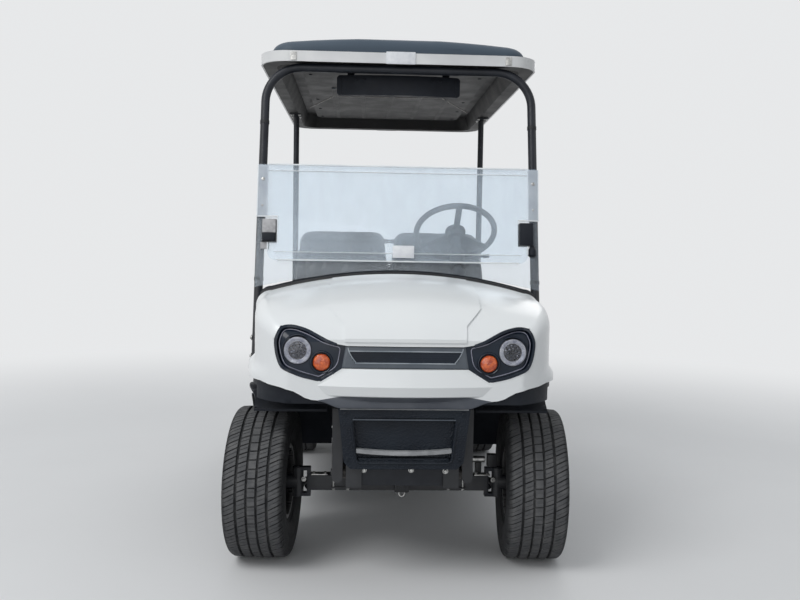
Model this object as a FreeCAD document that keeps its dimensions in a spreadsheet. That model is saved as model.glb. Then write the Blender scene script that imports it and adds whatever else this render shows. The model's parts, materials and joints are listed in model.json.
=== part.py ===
import FreeCAD, Part
import Sketcher
import math
import os
from FreeCAD import Placement, Rotation

# Golf cart with two benches back to back, at its real size in millimetres.
# The nose faces -Y, +Z is up and +X is the driver's side. The origin lies on the ground,
# at the middle of the overall length and width. The front wheels stand steered a little
# towards -X, as the cart was parked.

SIZES = (  # name, value in millimetres or degrees, what it is
    ("front_overhang", 430, "nose to front axle"),
    ("wheel_base", 1670, "front axle to rear axle"),
    ("rear_overhang", 680, "rear axle to the end of the footplate"),
    ("half_track", 498, "centre plane to a wheel's centre"),
    ("tyre_radius", 277, "outside of the tread"),
    ("tyre_width", 216, "section width"),
    ("tread_width", 196, "flat part of the tread"),
    ("tyre_wall", 12, "thickness of tread and sidewall"),
    ("rim_radius", 127, "bead seat"),
    ("rim_wall", 5, "barrel thickness"),
    ("rim_flange", 11, "height of the rim's edge over the bead seat"),
    ("rim_width", 178, "over the flanges"),
    ("spoke_disc", 14, "thickness of the wheel's face"),
    ("spoke_count", 5, "windows in the wheel's face"),
    ("hub_radius", 52, "mounting pad in the wheel's face"),
    ("cap_radius", 26, "centre cap"),
    ("stud_circle", 101.6, "diameter of the circle of wheel nuts"),
    ("nut_radius", 9, "wheel nut"),
    ("drum_radius", 88, "brake drum or hub inside the wheel"),
    ("axle_gap", 0.4, "gap between a hub and the shoulder of its axle"),
    ("spindle_radius", 12, "wheel spindle inside the hub"),
    ("spindle_length", 30, "wheel spindle inside the hub"),
    ("steer_rest", -4, "angle of the front wheels as parked"),
    ("kingpin_x", 375, "centre plane to kingpin axis"),
    ("kingpin_radius", 11, "kingpin"),
    ("knuckle_radius", 21, "knuckle barrel"),
    ("knuckle_height", 84, "knuckle barrel"),
    ("stub_radius", 14, "stub axle"),
    ("arm_length", 120, "kingpin axis to tie rod ball, along the cart"),
    ("ball_radius", 9, "tie rod ball"),
    ("rod_radius", 8, "tie rod"),
    ("ear_plate", 12, "thickness of the beam's ears over and under the knuckle"),
    ("beam_size", 55, "front axle beam, square tube"),
    ("rail_x", 165, "centre plane to a frame rail's middle"),
    ("rail_width", 45, "frame rail"),
    ("rail_height", 65, "frame rail"),
    ("rail_z", 373.2, "ground to a rail's middle"),
    ("spring_width", 44, "leaf spring"),
    ("spring_leaf", 7, "thickness of one leaf"),
    ("spring_x", 215, "centre plane to a leaf spring's middle"),
    ("spring_span", 560, "eye to eye"),
    ("spring_rise", 53, "eye height over the middle of the spring"),
    ("shock_radius", 19, "shock absorber body"),
    ("front_shock_x", 112, "centre plane to a front shock absorber"),
    ("rear_shock_x", 290, "centre plane to a rear shock absorber"),
    ("axle_tube_radius", 32, "rear axle tube"),
    ("diff_radius", 62, "transaxle housing"),
    ("diff_x", -95, "centre plane to the transaxle housing's middle"),
    ("motor_radius", 92, "drive motor"),
    ("motor_length", 205, "drive motor"),
    ("body_half_width", 598, "rear body and sills"),
    ("floor_z", 420, "top of the floor"),
    ("floor_thickness", 14, "floor plate"),
    ("toe_top_z", 672, "top of the toe board"),
    ("toe_run", 215, "toe board, along the cart"),
    ("sill_bottom_z", 318, "underside of the side sills"),
    ("sill_width", 92, "side sill"),
    ("liner_radius", 360, "inside of a front wheel arch liner"),
    ("liner_thickness", 7, "wheel arch liner"),
    ("liner_inner_x", 262, "centre plane to a liner's inner edge"),
    ("cowl_wall", 8, "moulded skin of the front cowl"),
    ("cowl_half_width", 560, "front cowl at the windscreen"),
    ("cowl_top_z", 1049, "front cowl's top edge at the middle"),
    ("cowl_shoulder_z", 981, "front cowl's top edge at the sides"),
    ("cowl_rear_y", 222, "front axle to the cowl's rear edge"),
    ("cowl_hem_z", 682, "front cowl's lower edge over the wheels"),
    ("cowl_arch_radius", 420, "wheel arch in the front cowl"),
    ("bumper_bottom_z", 640, "lower lip of the moulded bumper"),
    ("bumper_top_z", 757, "ledge under the lamps"),
    ("hood_panel", 4, "height of the raised panel on the bonnet"),
    ("hood_panel_x", 198, "centre plane to the raised panel's lower corners"),
    ("bumper_flat_x", 296, "centre plane to the bumper's corner crease"),
    ("grille_top_z", 831, "upper edge of the dark band at the middle"),
    ("band_gap", 0.3, "lamp band behind the cowl's skin"),
    ("band_thickness", 6, "lamp band"),
    ("band_overlap", 14, "lamp band behind the cowl's edge"),
    ("lamp_radius", 46, "headlamp"),
    ("lamp_x", 352, "centre plane to headlamp"),
    ("lamp_z", 815, "ground to headlamp"),
    ("turn_radius", 31, "turn lamp"),
    ("turn_x", 274, "centre plane to turn lamp"),
    ("turn_z", 777, "ground to turn lamp"),
    ("lamp_depth", 46, "lamp body behind its lens"),
    ("lower_bumper_z", 423, "underside of the black bumper"),
    ("lower_bumper_half", 220, "black bumper, half its top width"),
    ("lower_bumper_depth", 70, "black bumper, along the cart"),
    ("recess_depth", 22, "panel sunk into the black bumper"),
    ("leg_x", 221, "centre plane to a bumper bracket's leg"),
    ("leg_width", 36, "bumper bracket's leg"),
    ("leg_bottom_z", 357, "ground to the foot of a bumper bracket's leg"),
    ("hoop_radius", 17.5, "windscreen hoop tube"),
    ("hoop_half_width", 566, "centre plane to the hoop tube at its foot"),
    ("hoop_taper", 14, "how far each leg of the hoop leans in over its length"),
    ("hoop_bend", 150, "bend radius at the hoop's corners"),
    ("hoop_foot_y", 246, "front axle to the hoop's foot"),
    ("hoop_foot_z", 690, "ground to the hoop's foot"),
    ("hoop_lean", 9.2, "degrees that the hoop leans back"),
    ("pane_thickness", 5, "windscreen pane"),
    ("pane_gap", 6, "between the fixed and the folded pane"),
    ("pane_bottom", 300, "hoop's foot to the lower pane's foot, along the lean"),
    ("pane_split", 804, "hoop's foot to the fold, along the lean"),
    ("folded_drop", 392, "folded pane, from the fold down"),
    ("ear_drop", 223, "wide part of the folded pane"),
    ("ear_half_width", 572, "folded pane at its ears"),
    ("folded_half_width", 528, "folded pane below its ears"),
    ("clip_height", 92, "windscreen clip"),
    ("roof_half_width", 583, "roof with its edge trim"),
    ("roof_front_y", 400, "front axle to the roof's front edge"),
    ("roof_length", 1950, "roof with its edge trim"),
    ("roof_corner", 120, "corner radius seen from above"),
    ("roof_bottom_z", 1914, "underside of the roof's rim"),
    ("trim_height", 43, "light edge trim"),
    ("trim_thickness", 7, "light edge trim"),
    ("roof_top_z", 2030, "top of the roof"),
    ("roof_shoulder", 46, "rounding of the roof's upper edge"),
    ("roof_ledge", 43, "outside of the trim to the foot of the roof's crown"),
    ("roof_crown", 30, "rise of the roof's top across its width"),
    ("roof_rim", 62, "flat rim under the roof, inwards"),
    ("roof_panel", 150, "outside of the trim to the ceiling panel's sides"),
    ("panel_front", 200, "roof's front edge to the ceiling panel"),
    ("panel_drop", 24, "thickness of the ceiling panel in the roof's hollow"),
    ("roof_recess", 74, "depth of the roof's hollow underside"),
    ("rear_post_y", 110, "rear axle to a rear roof post"),
    ("post_in", 66, "side of the body to a rear roof post's middle"),
    ("post_radius", 16, "rear roof post"),
    ("seat_front_y", 760, "front axle to the front cushion's front edge"),
    ("seat_depth", 470, "front cushion, along the cart"),
    ("seat_in", 93, "side of the body to the cushions"),
    ("cushion_height", 120, "seat cushions"),
    ("seat_base_z", 690, "top of the body under the cushions"),
    ("back_height", 400, "seat backs"),
    ("back_thickness", 80, "seat backs"),
    ("back_gap", 42, "front cushion to the seat backs' lower edge"),
    ("back_rise", 25, "cushions' top to the seat backs' lower edge"),
    ("back_split", 16, "between the two seat backs of a bench"),
    ("back_lean", 8, "degrees that a seat back leans"),
    ("deck_thickness", 14, "flip-over deck under the rear cushion"),
    ("body_wall", 7, "moulded skin of the rear body"),
    ("body_arch_radius", 310, "wheel arch in the rear body"),
    ("body_hem_rise", 14.3, "floor to the lower edge of the rear body"),
    ("body_corner", 30, "rounding of the rear body's long edges"),
    ("body_tail_y", 290, "rear axle to the rear body's tail"),
    ("battery_half", 270, "battery pack, half its width"),
    ("battery_length", 360, "battery pack, along the cart"),
    ("battery_height", 225, "battery pack"),
    ("plate_half_width", 520, "rear footplate"),
    ("plate_length", 300, "rear footplate, along the cart"),
    ("plate_thickness", 12, "rear footplate"),
    ("grab_radius", 13, "grab bar over the footplate"),
    ("grab_rise", 130, "grab bar's top over the footplate"),
    ("dash_collar", 30, "dash collar inside the cowl"),
    ("dash_depth", 165, "dash, along the cart"),
    ("dash_wall", 7, "dash skin"),
    ("dash_bottom_z", 735, "underside of the dash"),
    ("dash_lip", 16, "dash over the cowl's top edge"),
    ("column_radius", 19, "steering column"),
    ("column_tilt", 50, "degrees that the column rises from level"),
    ("wheel_in", 330, "side of the body to the steering wheel"),
    ("wheel_y", 632, "front axle to the steering wheel's centre"),
    ("wheel_z", 1228, "ground to the steering wheel's centre"),
    ("wheel_radius", 174, "steering wheel, to the middle of its rim"),
    ("wheel_rim", 12, "radius of the steering wheel's rim"),
    ("mirror_half", 264, "roof mirror, half its width"),
    ("mirror_height", 84, "roof mirror"),
    ("mirror_thickness", 34, "roof mirror"),
    ("mirror_y", 530, "front axle to the roof mirror"),
    ("mirror_z", 1845, "ground to the roof mirror's middle"),
    ("rest_radius", 12, "hip restraint tube"),
    ("rest_in", 59, "side of the body to a hip restraint's middle"),
    ("hinge_radius", 4, "seat hinge pins"),
    ("hinge_x", 250, "centre plane to a seat hinge"),
    ("board_thickness", 12, "board under the front cushion"),
    ("rest_rise", 255, "hip restraint over the body's top"),
    ("hitch_radius", 9.65, "hole for the tow ball's shank"),
    ("hitch_plate", 10, "thickness of the tow plate"),
    ("tail_lamp_radius", 38, "tail lamp"),
)

doc = FreeCAD.newDocument("golf_cart")
sheet = doc.addObject("Spreadsheet::Sheet", "Sizes")
for row, (name, value, meaning) in enumerate(SIZES, 1):
    sheet.set(f"A{row}", meaning)
    sheet.set(f"B{row}", str(value))
    sheet.setAlias(f"B{row}", name)
doc.recompute()


class Size:
    """A length or angle that remembers the sheet expression it was worked out from."""

    def __init__(self, value, text=None):
        self.value = float(value)
        self.text = text if text is not None else f"{value:.9g}"

    def __float__(self):
        return self.value

    def _join(self, other, sign, value):
        return Size(value, f"({self.text} {sign} {other.text})")

    def __add__(self, other):
        other = sized(other)
        return self._join(other, "+", self.value + other.value)

    def __sub__(self, other):
        other = sized(other)
        return self._join(other, "-", self.value - other.value)

    def __mul__(self, other):
        other = sized(other)
        return self._join(other, "*", self.value * other.value)

    def __truediv__(self, other):
        other = sized(other)
        return self._join(other, "/", self.value / other.value)

    def __neg__(self):
        return Size(-self.value, f"(0 - {self.text})")

    def __radd__(self, other):
        return sized(other) + self

    def __rsub__(self, other):
        return sized(other) - self

    def __rmul__(self, other):
        return sized(other) * self


def sized(number):
    return number if isinstance(number, Size) else Size(number)


class Sheet:
    """The driving sizes by name."""

    def __getattr__(self, alias):
        return Size(sheet.get(alias), f"Sizes.{alias}")


d = Sheet()

# Places that several pieces share
overall_length = d.front_overhang + d.wheel_base + d.rear_overhang
nose_y = -(overall_length / 2)
tail_y = overall_length / 2
front_axle_y = nose_y + d.front_overhang
rear_axle_y = front_axle_y + d.wheel_base
beam_top_z = d.tyre_radius + d.beam_size / 2
rail_top_z = d.rail_z + d.rail_height / 2
rail_bottom_z = d.rail_z - d.rail_height / 2
seat_front_y = front_axle_y + d.seat_front_y
seat_rear_y = seat_front_y + d.seat_depth
back_slope = math.tan(math.radians(float(d.back_lean)))
back_run = float(d.back_height) * math.sin(math.radians(float(d.back_lean)))
back_front_y = seat_rear_y + d.back_gap
rear_seat_y = back_front_y + d.back_thickness * 2 + 2 * back_run + 22
rear_back_y = rear_seat_y - d.back_thickness - 18
middle_y = (seat_rear_y + d.back_gap + rear_seat_y - 18) / 2
dash_front_y = front_axle_y + d.cowl_rear_y + 0.3
body_hem_z = d.floor_z + d.body_hem_rise
body_front_y = seat_front_y + 20
body_tail_y = rear_axle_y + d.body_tail_y
cushion_top_z = d.seat_base_z + d.cushion_height
plate_front_y = tail_y - d.plate_length
plate_z = rail_top_z + 0.3 + d.plate_thickness
back_low_z = cushion_top_z + d.back_rise
front_seat_z = beam_top_z + 8.3
rear_seat_z = d.tyre_radius + d.axle_tube_radius + 8.3
kingpin_z = d.tyre_radius
toe_rise = float(d.toe_top_z) - 12 - float(d.floor_z) + float(d.floor_thickness)
toe_back = float(d.toe_run) + 0.4 * float(d.floor_thickness)
liner_reach = (float(d.liner_radius) + float(d.liner_thickness) + 0.3) * math.hypot(toe_rise, toe_back)
axle_below = float(d.floor_z - d.floor_thickness - d.tyre_radius)
toe_foot_y = front_axle_y + d.floor_thickness * 0.6 + (liner_reach - axle_below * toe_back) / toe_rise
front_hinge_y = seat_rear_y + 10
front_hinge_z = d.seat_base_z + 0.3 + d.board_thickness / 2
rear_hinge_y = body_tail_y + 10
rear_hinge_z = d.seat_base_z + 0.3 + d.deck_thickness / 2
rear_seat_depth = rear_hinge_y - 9 - rear_seat_y
seat_half_width = d.body_half_width - d.seat_in
rear_post_x = d.body_half_width - d.post_in
rest_x = d.body_half_width - d.rest_in
wheel_x = d.body_half_width - d.wheel_in
back_half_width = (seat_half_width - 11 - d.back_split / 2) / 2

SIDES = (("left", 1), ("right", -1))


def v(x, y, z):
    return FreeCAD.Vector(float(x), float(y), float(z))


X_AXIS, Y_AXIS, Z_AXIS = v(1, 0, 0), v(0, 1, 0), v(0, 0, 1)


def bind(item, prop, size):
    """Sets a property and ties it to the sheet."""
    size = sized(size)
    setattr(item, prop, size.value)
    if "Sizes." in size.text:
        item.setExpression(prop, size.text)


def place(item, x=0, y=0, z=0, rotation=None):
    """Puts an object in its place, with each coordinate tied to the sheet."""
    item.Placement = Placement(v(x, y, z), rotation or Rotation())
    for axis, size in (("x", x), ("y", y), ("z", z)):
        size = sized(size)
        if "Sizes." in size.text:
            item.setExpression(f"Placement.Base.{axis}", size.text)
    return item


def box(name, lx, ly, lz, x, y, z):
    """A block by its lengths and its lowest corner."""
    item = doc.addObject("Part::Box", name)
    bind(item, "Length", lx)
    bind(item, "Width", ly)
    bind(item, "Height", lz)
    return place(item, x, y, z)


def rod(name, radius, length, x, y, z, axis=Z_AXIS):
    """A cylinder by its radius, its length and the middle of its first end."""
    item = doc.addObject("Part::Cylinder", name)
    bind(item, "Radius", radius)
    bind(item, "Height", length)
    return place(item, x, y, z, Rotation(Z_AXIS, axis))


def fuse(label, *items):
    item = doc.addObject("Part::MultiFuse", label)
    item.Shapes = list(items)
    item.Refine = True
    return item


def cut(label, base, *tools):
    item = doc.addObject("Part::Cut", label)
    item.Base = base
    item.Tool = tools[0] if len(tools) == 1 else fuse(label + "_tools", *tools)
    item.Refine = True
    return item


def shaped(label, shape):
    """A piece whose form comes from lofts, arcs or sweeps worked out below from the same sizes."""
    item = doc.addObject("Part::Feature", label)
    item.Shape = shape
    return item


class Body:
    """A PartDesign body, built feature by feature."""

    def __init__(self, label):
        self.label = label
        self.body = doc.addObject("PartDesign::Body", label)

    def sketch(self, plane, name, corners=(), circles=(), offset=None):
        """A sketch on an origin plane: one closed outline of lines, and circles as (x, y, radius)."""
        item = self.body.newObject("Sketcher::SketchObject", f"{self.label}_{name}")
        support = [f for f in self.body.Origin.OriginFeatures if f.Role == plane][0]
        item.AttachmentSupport = (support, "")
        item.MapMode = "FlatFace"
        if offset is not None:
            item.AttachmentOffset = Placement(v(0, 0, offset), Rotation())
            item.setExpression("AttachmentOffset.Base.z", sized(offset).text)
        corners = [(sized(a), sized(b)) for a, b in corners]
        count = len(corners)
        for i, (a, b) in enumerate(corners):
            c, e = corners[(i + 1) % count]
            item.addGeometry(Part.LineSegment(v(a, b, 0), v(c, e, 0)))
        for i in range(count):
            item.addConstraint(Sketcher.Constraint("Coincident", i, 2, (i + 1) % count, 1))
        for i, (a, b) in enumerate(corners):
            self.hold(item, i, 1, a, b)
        for k, (a, b, radius) in enumerate(circles, count):
            a, b, radius = sized(a), sized(b), sized(radius)
            item.addGeometry(Part.Circle(v(a, b, 0), Z_AXIS, float(radius)))
            self.hold(item, k, 3, a, b)
            n = item.addConstraint(Sketcher.Constraint("Radius", k, float(radius)))
            if "Sizes." in radius.text:
                item.setExpression(f"Constraints[{n}]", radius.text)
        doc.recompute()
        return item

    @staticmethod
    def hold(item, geometry, point, a, b):
        """Holds one point of a sketch by its two distances from the sketch's origin."""
        for kind, size in (("DistanceX", a), ("DistanceY", b)):
            n = item.addConstraint(Sketcher.Constraint(kind, -1, 1, geometry, point, float(size)))
            if "Sizes." in size.text:
                item.setExpression(f"Constraints[{n}]", size.text)

    def pad(self, sketch, length, midplane=False, name="pad"):
        item = self.body.newObject("PartDesign::Pad", f"{self.label}_{name}")
        item.Profile = sketch
        bind(item, "Length", length)
        item.Midplane = midplane
        doc.recompute()
        return item

    def pocket(self, sketch, length, midplane=False, reverse=False, name="pocket"):
        item = self.body.newObject("PartDesign::Pocket", f"{self.label}_{name}")
        item.Profile = sketch
        bind(item, "Length", length)
        item.Midplane = midplane
        item.Reversed = reverse
        doc.recompute()
        return item

    def revolve(self, sketch, axis="H_Axis", name="turn"):
        item = self.body.newObject("PartDesign::Revolution", f"{self.label}_{name}")
        item.Profile = sketch
        item.ReferenceAxis = (sketch, [axis])
        item.Angle = 360
        doc.recompute()
        return item

    def pattern(self, feature, count, axis, name="pattern"):
        item = self.body.newObject("PartDesign::PolarPattern", f"{self.label}_{name}")
        item.Originals = [feature]
        item.Axis = axis
        item.Angle = 360
        item.Occurrences = int(float(count))
        self.body.Tip = item
        doc.recompute()
        return item

    def fillet(self, radius, chosen, name="round"):
        """Rounds the edges of the body so far for which chosen(edge) is true."""
        tip = self.body.Tip
        edges = [f"Edge{i}" for i, e in enumerate(tip.Shape.Edges, 1) if chosen(e)]
        item = self.body.newObject("PartDesign::Fillet", f"{self.label}_{name}")
        item.Base = (tip, edges)
        bind(item, "Radius", radius)
        doc.recompute()
        return item


def along(direction):
    """Chooses straight edges that run along a direction."""

    def chosen(edge):
        if not isinstance(edge.Curve, (Part.Line, Part.LineSegment)):
            return False
        return abs(edge.Curve.Direction.dot(direction)) > 0.999

    return chosen


def polygon(points, plane="yz", at=0):
    """A flat face from corners given in a plane, at a distance along the plane's normal."""
    turn = {"yz": lambda a, b: v(at, a, b), "xz": lambda a, b: v(a, at, b), "xy": lambda a, b: v(a, b, at)}
    corners = [turn[plane](a, b) for a, b in points]
    return Part.Face(Part.makePolygon(corners + corners[:1]))


def mirrored(points):
    """A half outline given at +X, from the middle outwards and back, made whole."""
    return list(points) + [(-x, z) for x, z in reversed(list(points)) if float(x) > 1e-6]


def tube_path(corners, bend):
    """A wire of straight runs joined by tangent arcs of one radius."""
    bend = float(bend)
    edges = []
    start = corners[0]
    for before, corner, after in zip(corners, corners[1:], corners[2:]):
        back = (before - corner).normalize()
        forth = (after - corner).normalize()
        half = back.getAngle(forth) / 2
        reach = bend / math.tan(half)
        first, last = corner + back * reach, corner + forth * reach
        middle = (back + forth).normalize()
        crown = corner + middle * (bend / math.sin(half) - bend)
        edges.append(Part.LineSegment(start, first).toShape())
        edges.append(Part.Arc(first, crown, last).toShape())
        start = last
    edges.append(Part.LineSegment(start, corners[-1]).toShape())
    return Part.Wire(edges)


def tube(corners, radius, bend):
    """A round bar along a path."""
    path = tube_path(corners, bend)
    first = path.Edges[0]
    ring = Part.Circle(corners[0], first.tangentAt(first.FirstParameter), float(radius))
    return path.makePipeShell([Part.Wire(ring.toShape())], True, True)


def bar(start, end, radius):
    return Part.makeCylinder(float(radius), (end - start).Length, start, end - start)


def block(lx, ly, lz, x, y, z):
    """A block by its lengths and its middle."""
    corner = v(float(x) - float(lx) / 2, float(y) - float(ly) / 2, float(z) - float(lz) / 2)
    return Part.makeBox(float(lx), float(ly), float(lz), corner)


def joined(shapes):
    return shapes[0].fuse(shapes[1:]).removeSplitter() if len(shapes) > 1 else shapes[0]


def both_sides(shape):
    """A shape and its mirror image across the centre plane, as separate solids."""
    other = shape.mirror(v(0, 0, 0), X_AXIS)
    return Part.Compound([shape, other])


# Wheels

def wheel_place(side, axle_y, steer):
    """Where a wheel's own frame goes: its own +X points out of the cart. steer is in degrees."""
    out = Rotation(Z_AXIS, 0 if side > 0 else 180)
    centre = v(side * float(d.half_track), axle_y, d.tyre_radius)
    if not steer:
        return Placement(centre, out)
    pivot = v(side * float(d.kingpin_x), axle_y, d.tyre_radius)
    turn = Rotation(Z_AXIS, float(steer))
    return Placement(pivot + turn.multVec(centre - pivot), turn.multiply(out))


def make_tyre(label, placement):
    """Tyre as a turned carcass, open towards the rim. Its own X is the axle."""
    part = Body(label)
    half = d.tyre_width / 2
    tread = d.tread_width / 2
    bead = d.rim_width / 2 - d.rim_wall - 2
    shoulder = d.tyre_radius - 26
    belly = d.rim_radius + 62
    wall = d.tyre_wall
    outline = [
        (-bead, d.rim_radius),
        (-bead - 2, d.rim_radius + 14),
        (-half, belly),
        (-half + 3, shoulder - 12),
        (-tread, d.tyre_radius - 7),
        (-tread * 0.6, d.tyre_radius),
        (tread * 0.6, d.tyre_radius),
        (tread, d.tyre_radius - 7),
        (half - 3, shoulder - 12),
        (half, belly),
        (bead + 2, d.rim_radius + 14),
        (bead, d.rim_radius),
        (bead - wall, d.rim_radius),
        (bead - wall, d.rim_radius + 16),
        (half - wall, belly),
        (tread - wall, d.tyre_radius - 10 - wall),
        (-tread + wall, d.tyre_radius - 10 - wall),
        (-half + wall, belly),
        (-bead + wall, d.rim_radius + 16),
        (-bead + wall, d.rim_radius),
    ]
    part.revolve(part.sketch("XY_Plane", "section", outline))
    part.body.Placement = placement
    return part.body


def make_rim(label, placement):
    """Alloy wheel: turned barrel and face, windows in a circle, cap, nuts and the hub behind."""
    part = Body(label)
    half = d.rim_width / 2
    lip = d.rim_radius + d.rim_flange
    well = d.rim_radius - 16
    face = half - 26
    wall = d.rim_wall
    outline = [
        (-half, d.rim_radius - wall),
        (-half, lip),
        (-half + wall, lip),
        (-half + wall, d.rim_radius),
        (-half + 34, d.rim_radius),
        (-half + 52, well),
        (half - 60, well),
        (half - 34, d.rim_radius),
        (half - wall, d.rim_radius),
        (half - wall, lip),
        (half, lip),
        (half, d.rim_radius - wall),
        (face, d.rim_radius - wall - 6),
        (face + 8, d.hub_radius + 6),
        (face, d.hub_radius),
        (face, d.cap_radius),
        (face + 12, d.cap_radius - 3),
        (face + 15, 0),
        (face - 52 + d.spindle_length + 1, 0),
        (face - 52 + d.spindle_length + 1, d.spindle_radius + 0.05),
        (face - 52, d.spindle_radius + 0.05),
        (face - 52, d.drum_radius),
        (face - d.spoke_disc, d.drum_radius),
        (face - d.spoke_disc, d.rim_radius - wall - 12),
        (half - 40, d.rim_radius - wall - 3),
        (half - 62, well - wall),
        (-half + 50, well - wall),
        (-half + 32, d.rim_radius - wall),
    ]
    part.revolve(part.sketch("XY_Plane", "section", outline))
    inner, outer = d.hub_radius + 8, d.rim_radius - wall - 14
    window = [(-13, inner), (13, inner), (33, outer), (-33, outer)]
    hole = part.sketch("YZ_Plane", "window", window)
    cutter = part.pocket(hole, d.rim_width - 60, midplane=False, reverse=True, name="windows")
    part.pattern(cutter, d.spoke_count, (hole, ["N_Axis"]), name="spokes")
    ring = d.stud_circle / 2
    nuts = part.sketch("YZ_Plane", "nuts", circles=[(ring, 0, d.nut_radius)])
    nut = part.pad(nuts, face + 12, name="nut")
    part.pattern(nut, 4, (nuts, ["N_Axis"]), name="nuts_ring")
    part.body.Placement = placement
    return part.body


def make_wheels():
    corners = (
        ("front_left", 1, front_axle_y, d.steer_rest),
        ("front_right", -1, front_axle_y, d.steer_rest),
        ("rear_left", 1, rear_axle_y, None),
        ("rear_right", -1, rear_axle_y, None),
    )
    for name, side, axle_y, steer in corners:
        place_at = wheel_place(side, axle_y, steer)
        yield make_tyre(f"{name}_tyre", place_at)
        yield make_rim(f"{name}_rim", place_at)


# Steering and axles

def hub_face_x():
    """Centre plane to the inner face of a wheel's hub."""
    return float(d.half_track) + float(d.rim_width) / 2 - 26 - 52


def make_knuckle(label, side):
    """Knuckle barrel on its kingpin, with the stub axle and the steering arm to the rear."""
    low = -float(d.knuckle_height) / 2
    barrel = Part.makeCylinder(float(d.knuckle_radius), float(d.knuckle_height), v(0, 0, low))
    bore = Part.makeCylinder(float(d.kingpin_radius) + 0.05, float(d.knuckle_height) + 2, v(0, 0, low - 1))
    reach = hub_face_x() - float(d.kingpin_x) - float(d.axle_gap)
    stub = Part.makeCylinder(float(d.stub_radius) * 1.9, reach, v(0, 0, 0), v(side, 0, 0))
    spindle = Part.makeCylinder(
        float(d.spindle_radius), float(d.spindle_length), v(side * reach, 0, 0), v(side, 0, 0)
    )
    arm_end = v(-side * 22, d.arm_length, low + 12)
    arm = bar(v(0, 0, low + 12), arm_end, 8)
    eye = Part.makeCylinder(15, 20, arm_end - v(0, 0, 10))
    item = shaped(label, joined([barrel, stub, spindle, arm, eye]).cut(bore))
    middle = v(side * float(d.kingpin_x), front_axle_y, kingpin_z)
    item.Placement = Placement(middle, Rotation(Z_AXIS, float(d.steer_rest)))
    return item


def ball_point(side):
    """Where the tie rod meets a steering arm, with the wheels as parked."""
    pivot = v(side * float(d.kingpin_x), front_axle_y, kingpin_z)
    low = -float(d.knuckle_height) / 2 + 12
    arm = v(-side * 22, float(d.arm_length), low)
    return pivot + Rotation(Z_AXIS, float(d.steer_rest)).multVec(arm)


def make_tie_rod():
    """Tie rod under the two steering arms, hung from their eyes by a ball stud at each end."""
    left, right = ball_point(1), ball_point(-1)
    drop = v(0, 0, -10 - 0.3 - float(d.ball_radius) - 4)
    shapes = [bar(right + drop, left + drop, d.rod_radius)]
    for end in (left, right):
        shapes.append(Part.makeSphere(float(d.ball_radius) + 4, end + drop))
    return shaped("tie_rod", joined(shapes))


def make_front_axle():
    """Square beam with an ear over and under each knuckle, the kingpins, and spring pads."""
    half = float(d.beam_size) / 2
    y, z = float(front_axle_y), float(kingpin_z)
    x = float(d.kingpin_x)
    reach = x - float(d.knuckle_radius) - 20
    beam = block(2 * reach, 2 * half, 2 * half, 0, y, z)
    shapes = [beam]
    gap = float(d.knuckle_height) / 2 + 0.4
    plate = float(d.ear_plate)
    for side in (1, -1):
        web = block(14, half, 2 * (gap + plate), side * reach, y, z)
        shapes.append(web)
        for way in (1, -1):
            middle = z + way * (gap + plate / 2)
            lug = block(x - reach, half, plate, side * (x + reach) / 2, y, middle)
            cap = Part.makeCylinder(21, plate, v(side * x, y, middle - plate / 2))
            shapes += [lug, cap]
        pin = Part.makeCylinder(
            float(d.kingpin_radius) - 0.05, 2 * (gap + plate) + 6, v(side * x, y, z - gap - plate - 3)
        )
        shapes.append(pin)
        shapes.append(block(70, 90, 8, side * float(d.spring_x), y, z + half + 4))
    return shaped("front_axle", joined(shapes))


def leaf_pack(axle_y, seat_z, leaves):
    """Leaves of one curve, each shorter than the one above, resting on a seat at the axle."""
    span, rise = float(d.spring_span), float(d.spring_rise)
    leaf = float(d.spring_leaf)
    radius = (span * span / 4 + rise * rise) / (2 * rise)
    x = float(d.spring_x) - float(d.spring_width) / 2
    shapes = []
    for n in range(leaves):
        top = float(seat_z) + leaf * (leaves - n)
        middle = v(x, axle_y, top + radius - leaf)
        ring = Part.makeCylinder(radius + 0.01, float(d.spring_width), middle, X_AXIS)
        core = Part.makeCylinder(radius - leaf, float(d.spring_width), middle, X_AXIS)
        reach = span / 2 * (1 - 0.24 * n)
        limit = block(
            float(d.spring_width) + 2, 2 * reach, 2 * rise + 60, d.spring_x, axle_y, top + rise
        )
        shapes.append(ring.cut(core).common(limit))
    end_z = float(seat_z) + leaf * (leaves - 0.5) + rise
    bores = []
    for way in (-1, 1):
        eye = v(x, float(axle_y) + way * span / 2, end_z)
        shapes.append(Part.makeCylinder(16, float(d.spring_width), eye, X_AXIS))
        bores.append(Part.makeCylinder(8.05, float(d.spring_width) + 2, eye - v(1, 0, 0), X_AXIS))
    return joined(shapes).cut(bores), end_z


def make_springs():
    shapes = []
    for axle_y, seat_z in ((front_axle_y, front_seat_z), (rear_axle_y, rear_seat_z)):
        pack, _ = leaf_pack(axle_y, seat_z, 3)
        shapes += [pack, pack.mirror(v(0, 0, 0), X_AXIS)]
    return shaped("leaf_springs", Part.Compound(shapes))


def shock_places():
    """Each pair of shock absorbers: distance from the centre plane, axle and height of the foot."""
    yield float(d.front_shock_x), float(front_axle_y), float(beam_top_z) + 0.3
    yield float(d.rear_shock_x), float(rear_axle_y), float(d.tyre_radius + d.axle_tube_radius) + 0.3


def make_shocks():
    """A damper at each wheel, standing on the axle under a bracket of the frame."""
    shapes = []
    for x, y, low in shock_places():
        foot, head = v(x, y, low), v(x, y, float(rail_top_z) + 69.7)
        middle = foot + (head - foot) * 0.55
        one = joined([bar(foot, middle, float(d.shock_radius) * 0.6), bar(middle, head, d.shock_radius)])
        shapes += [one, one.mirror(v(0, 0, 0), X_AXIS)]
    return shaped("shock_absorbers", Part.Compound(shapes))


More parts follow.
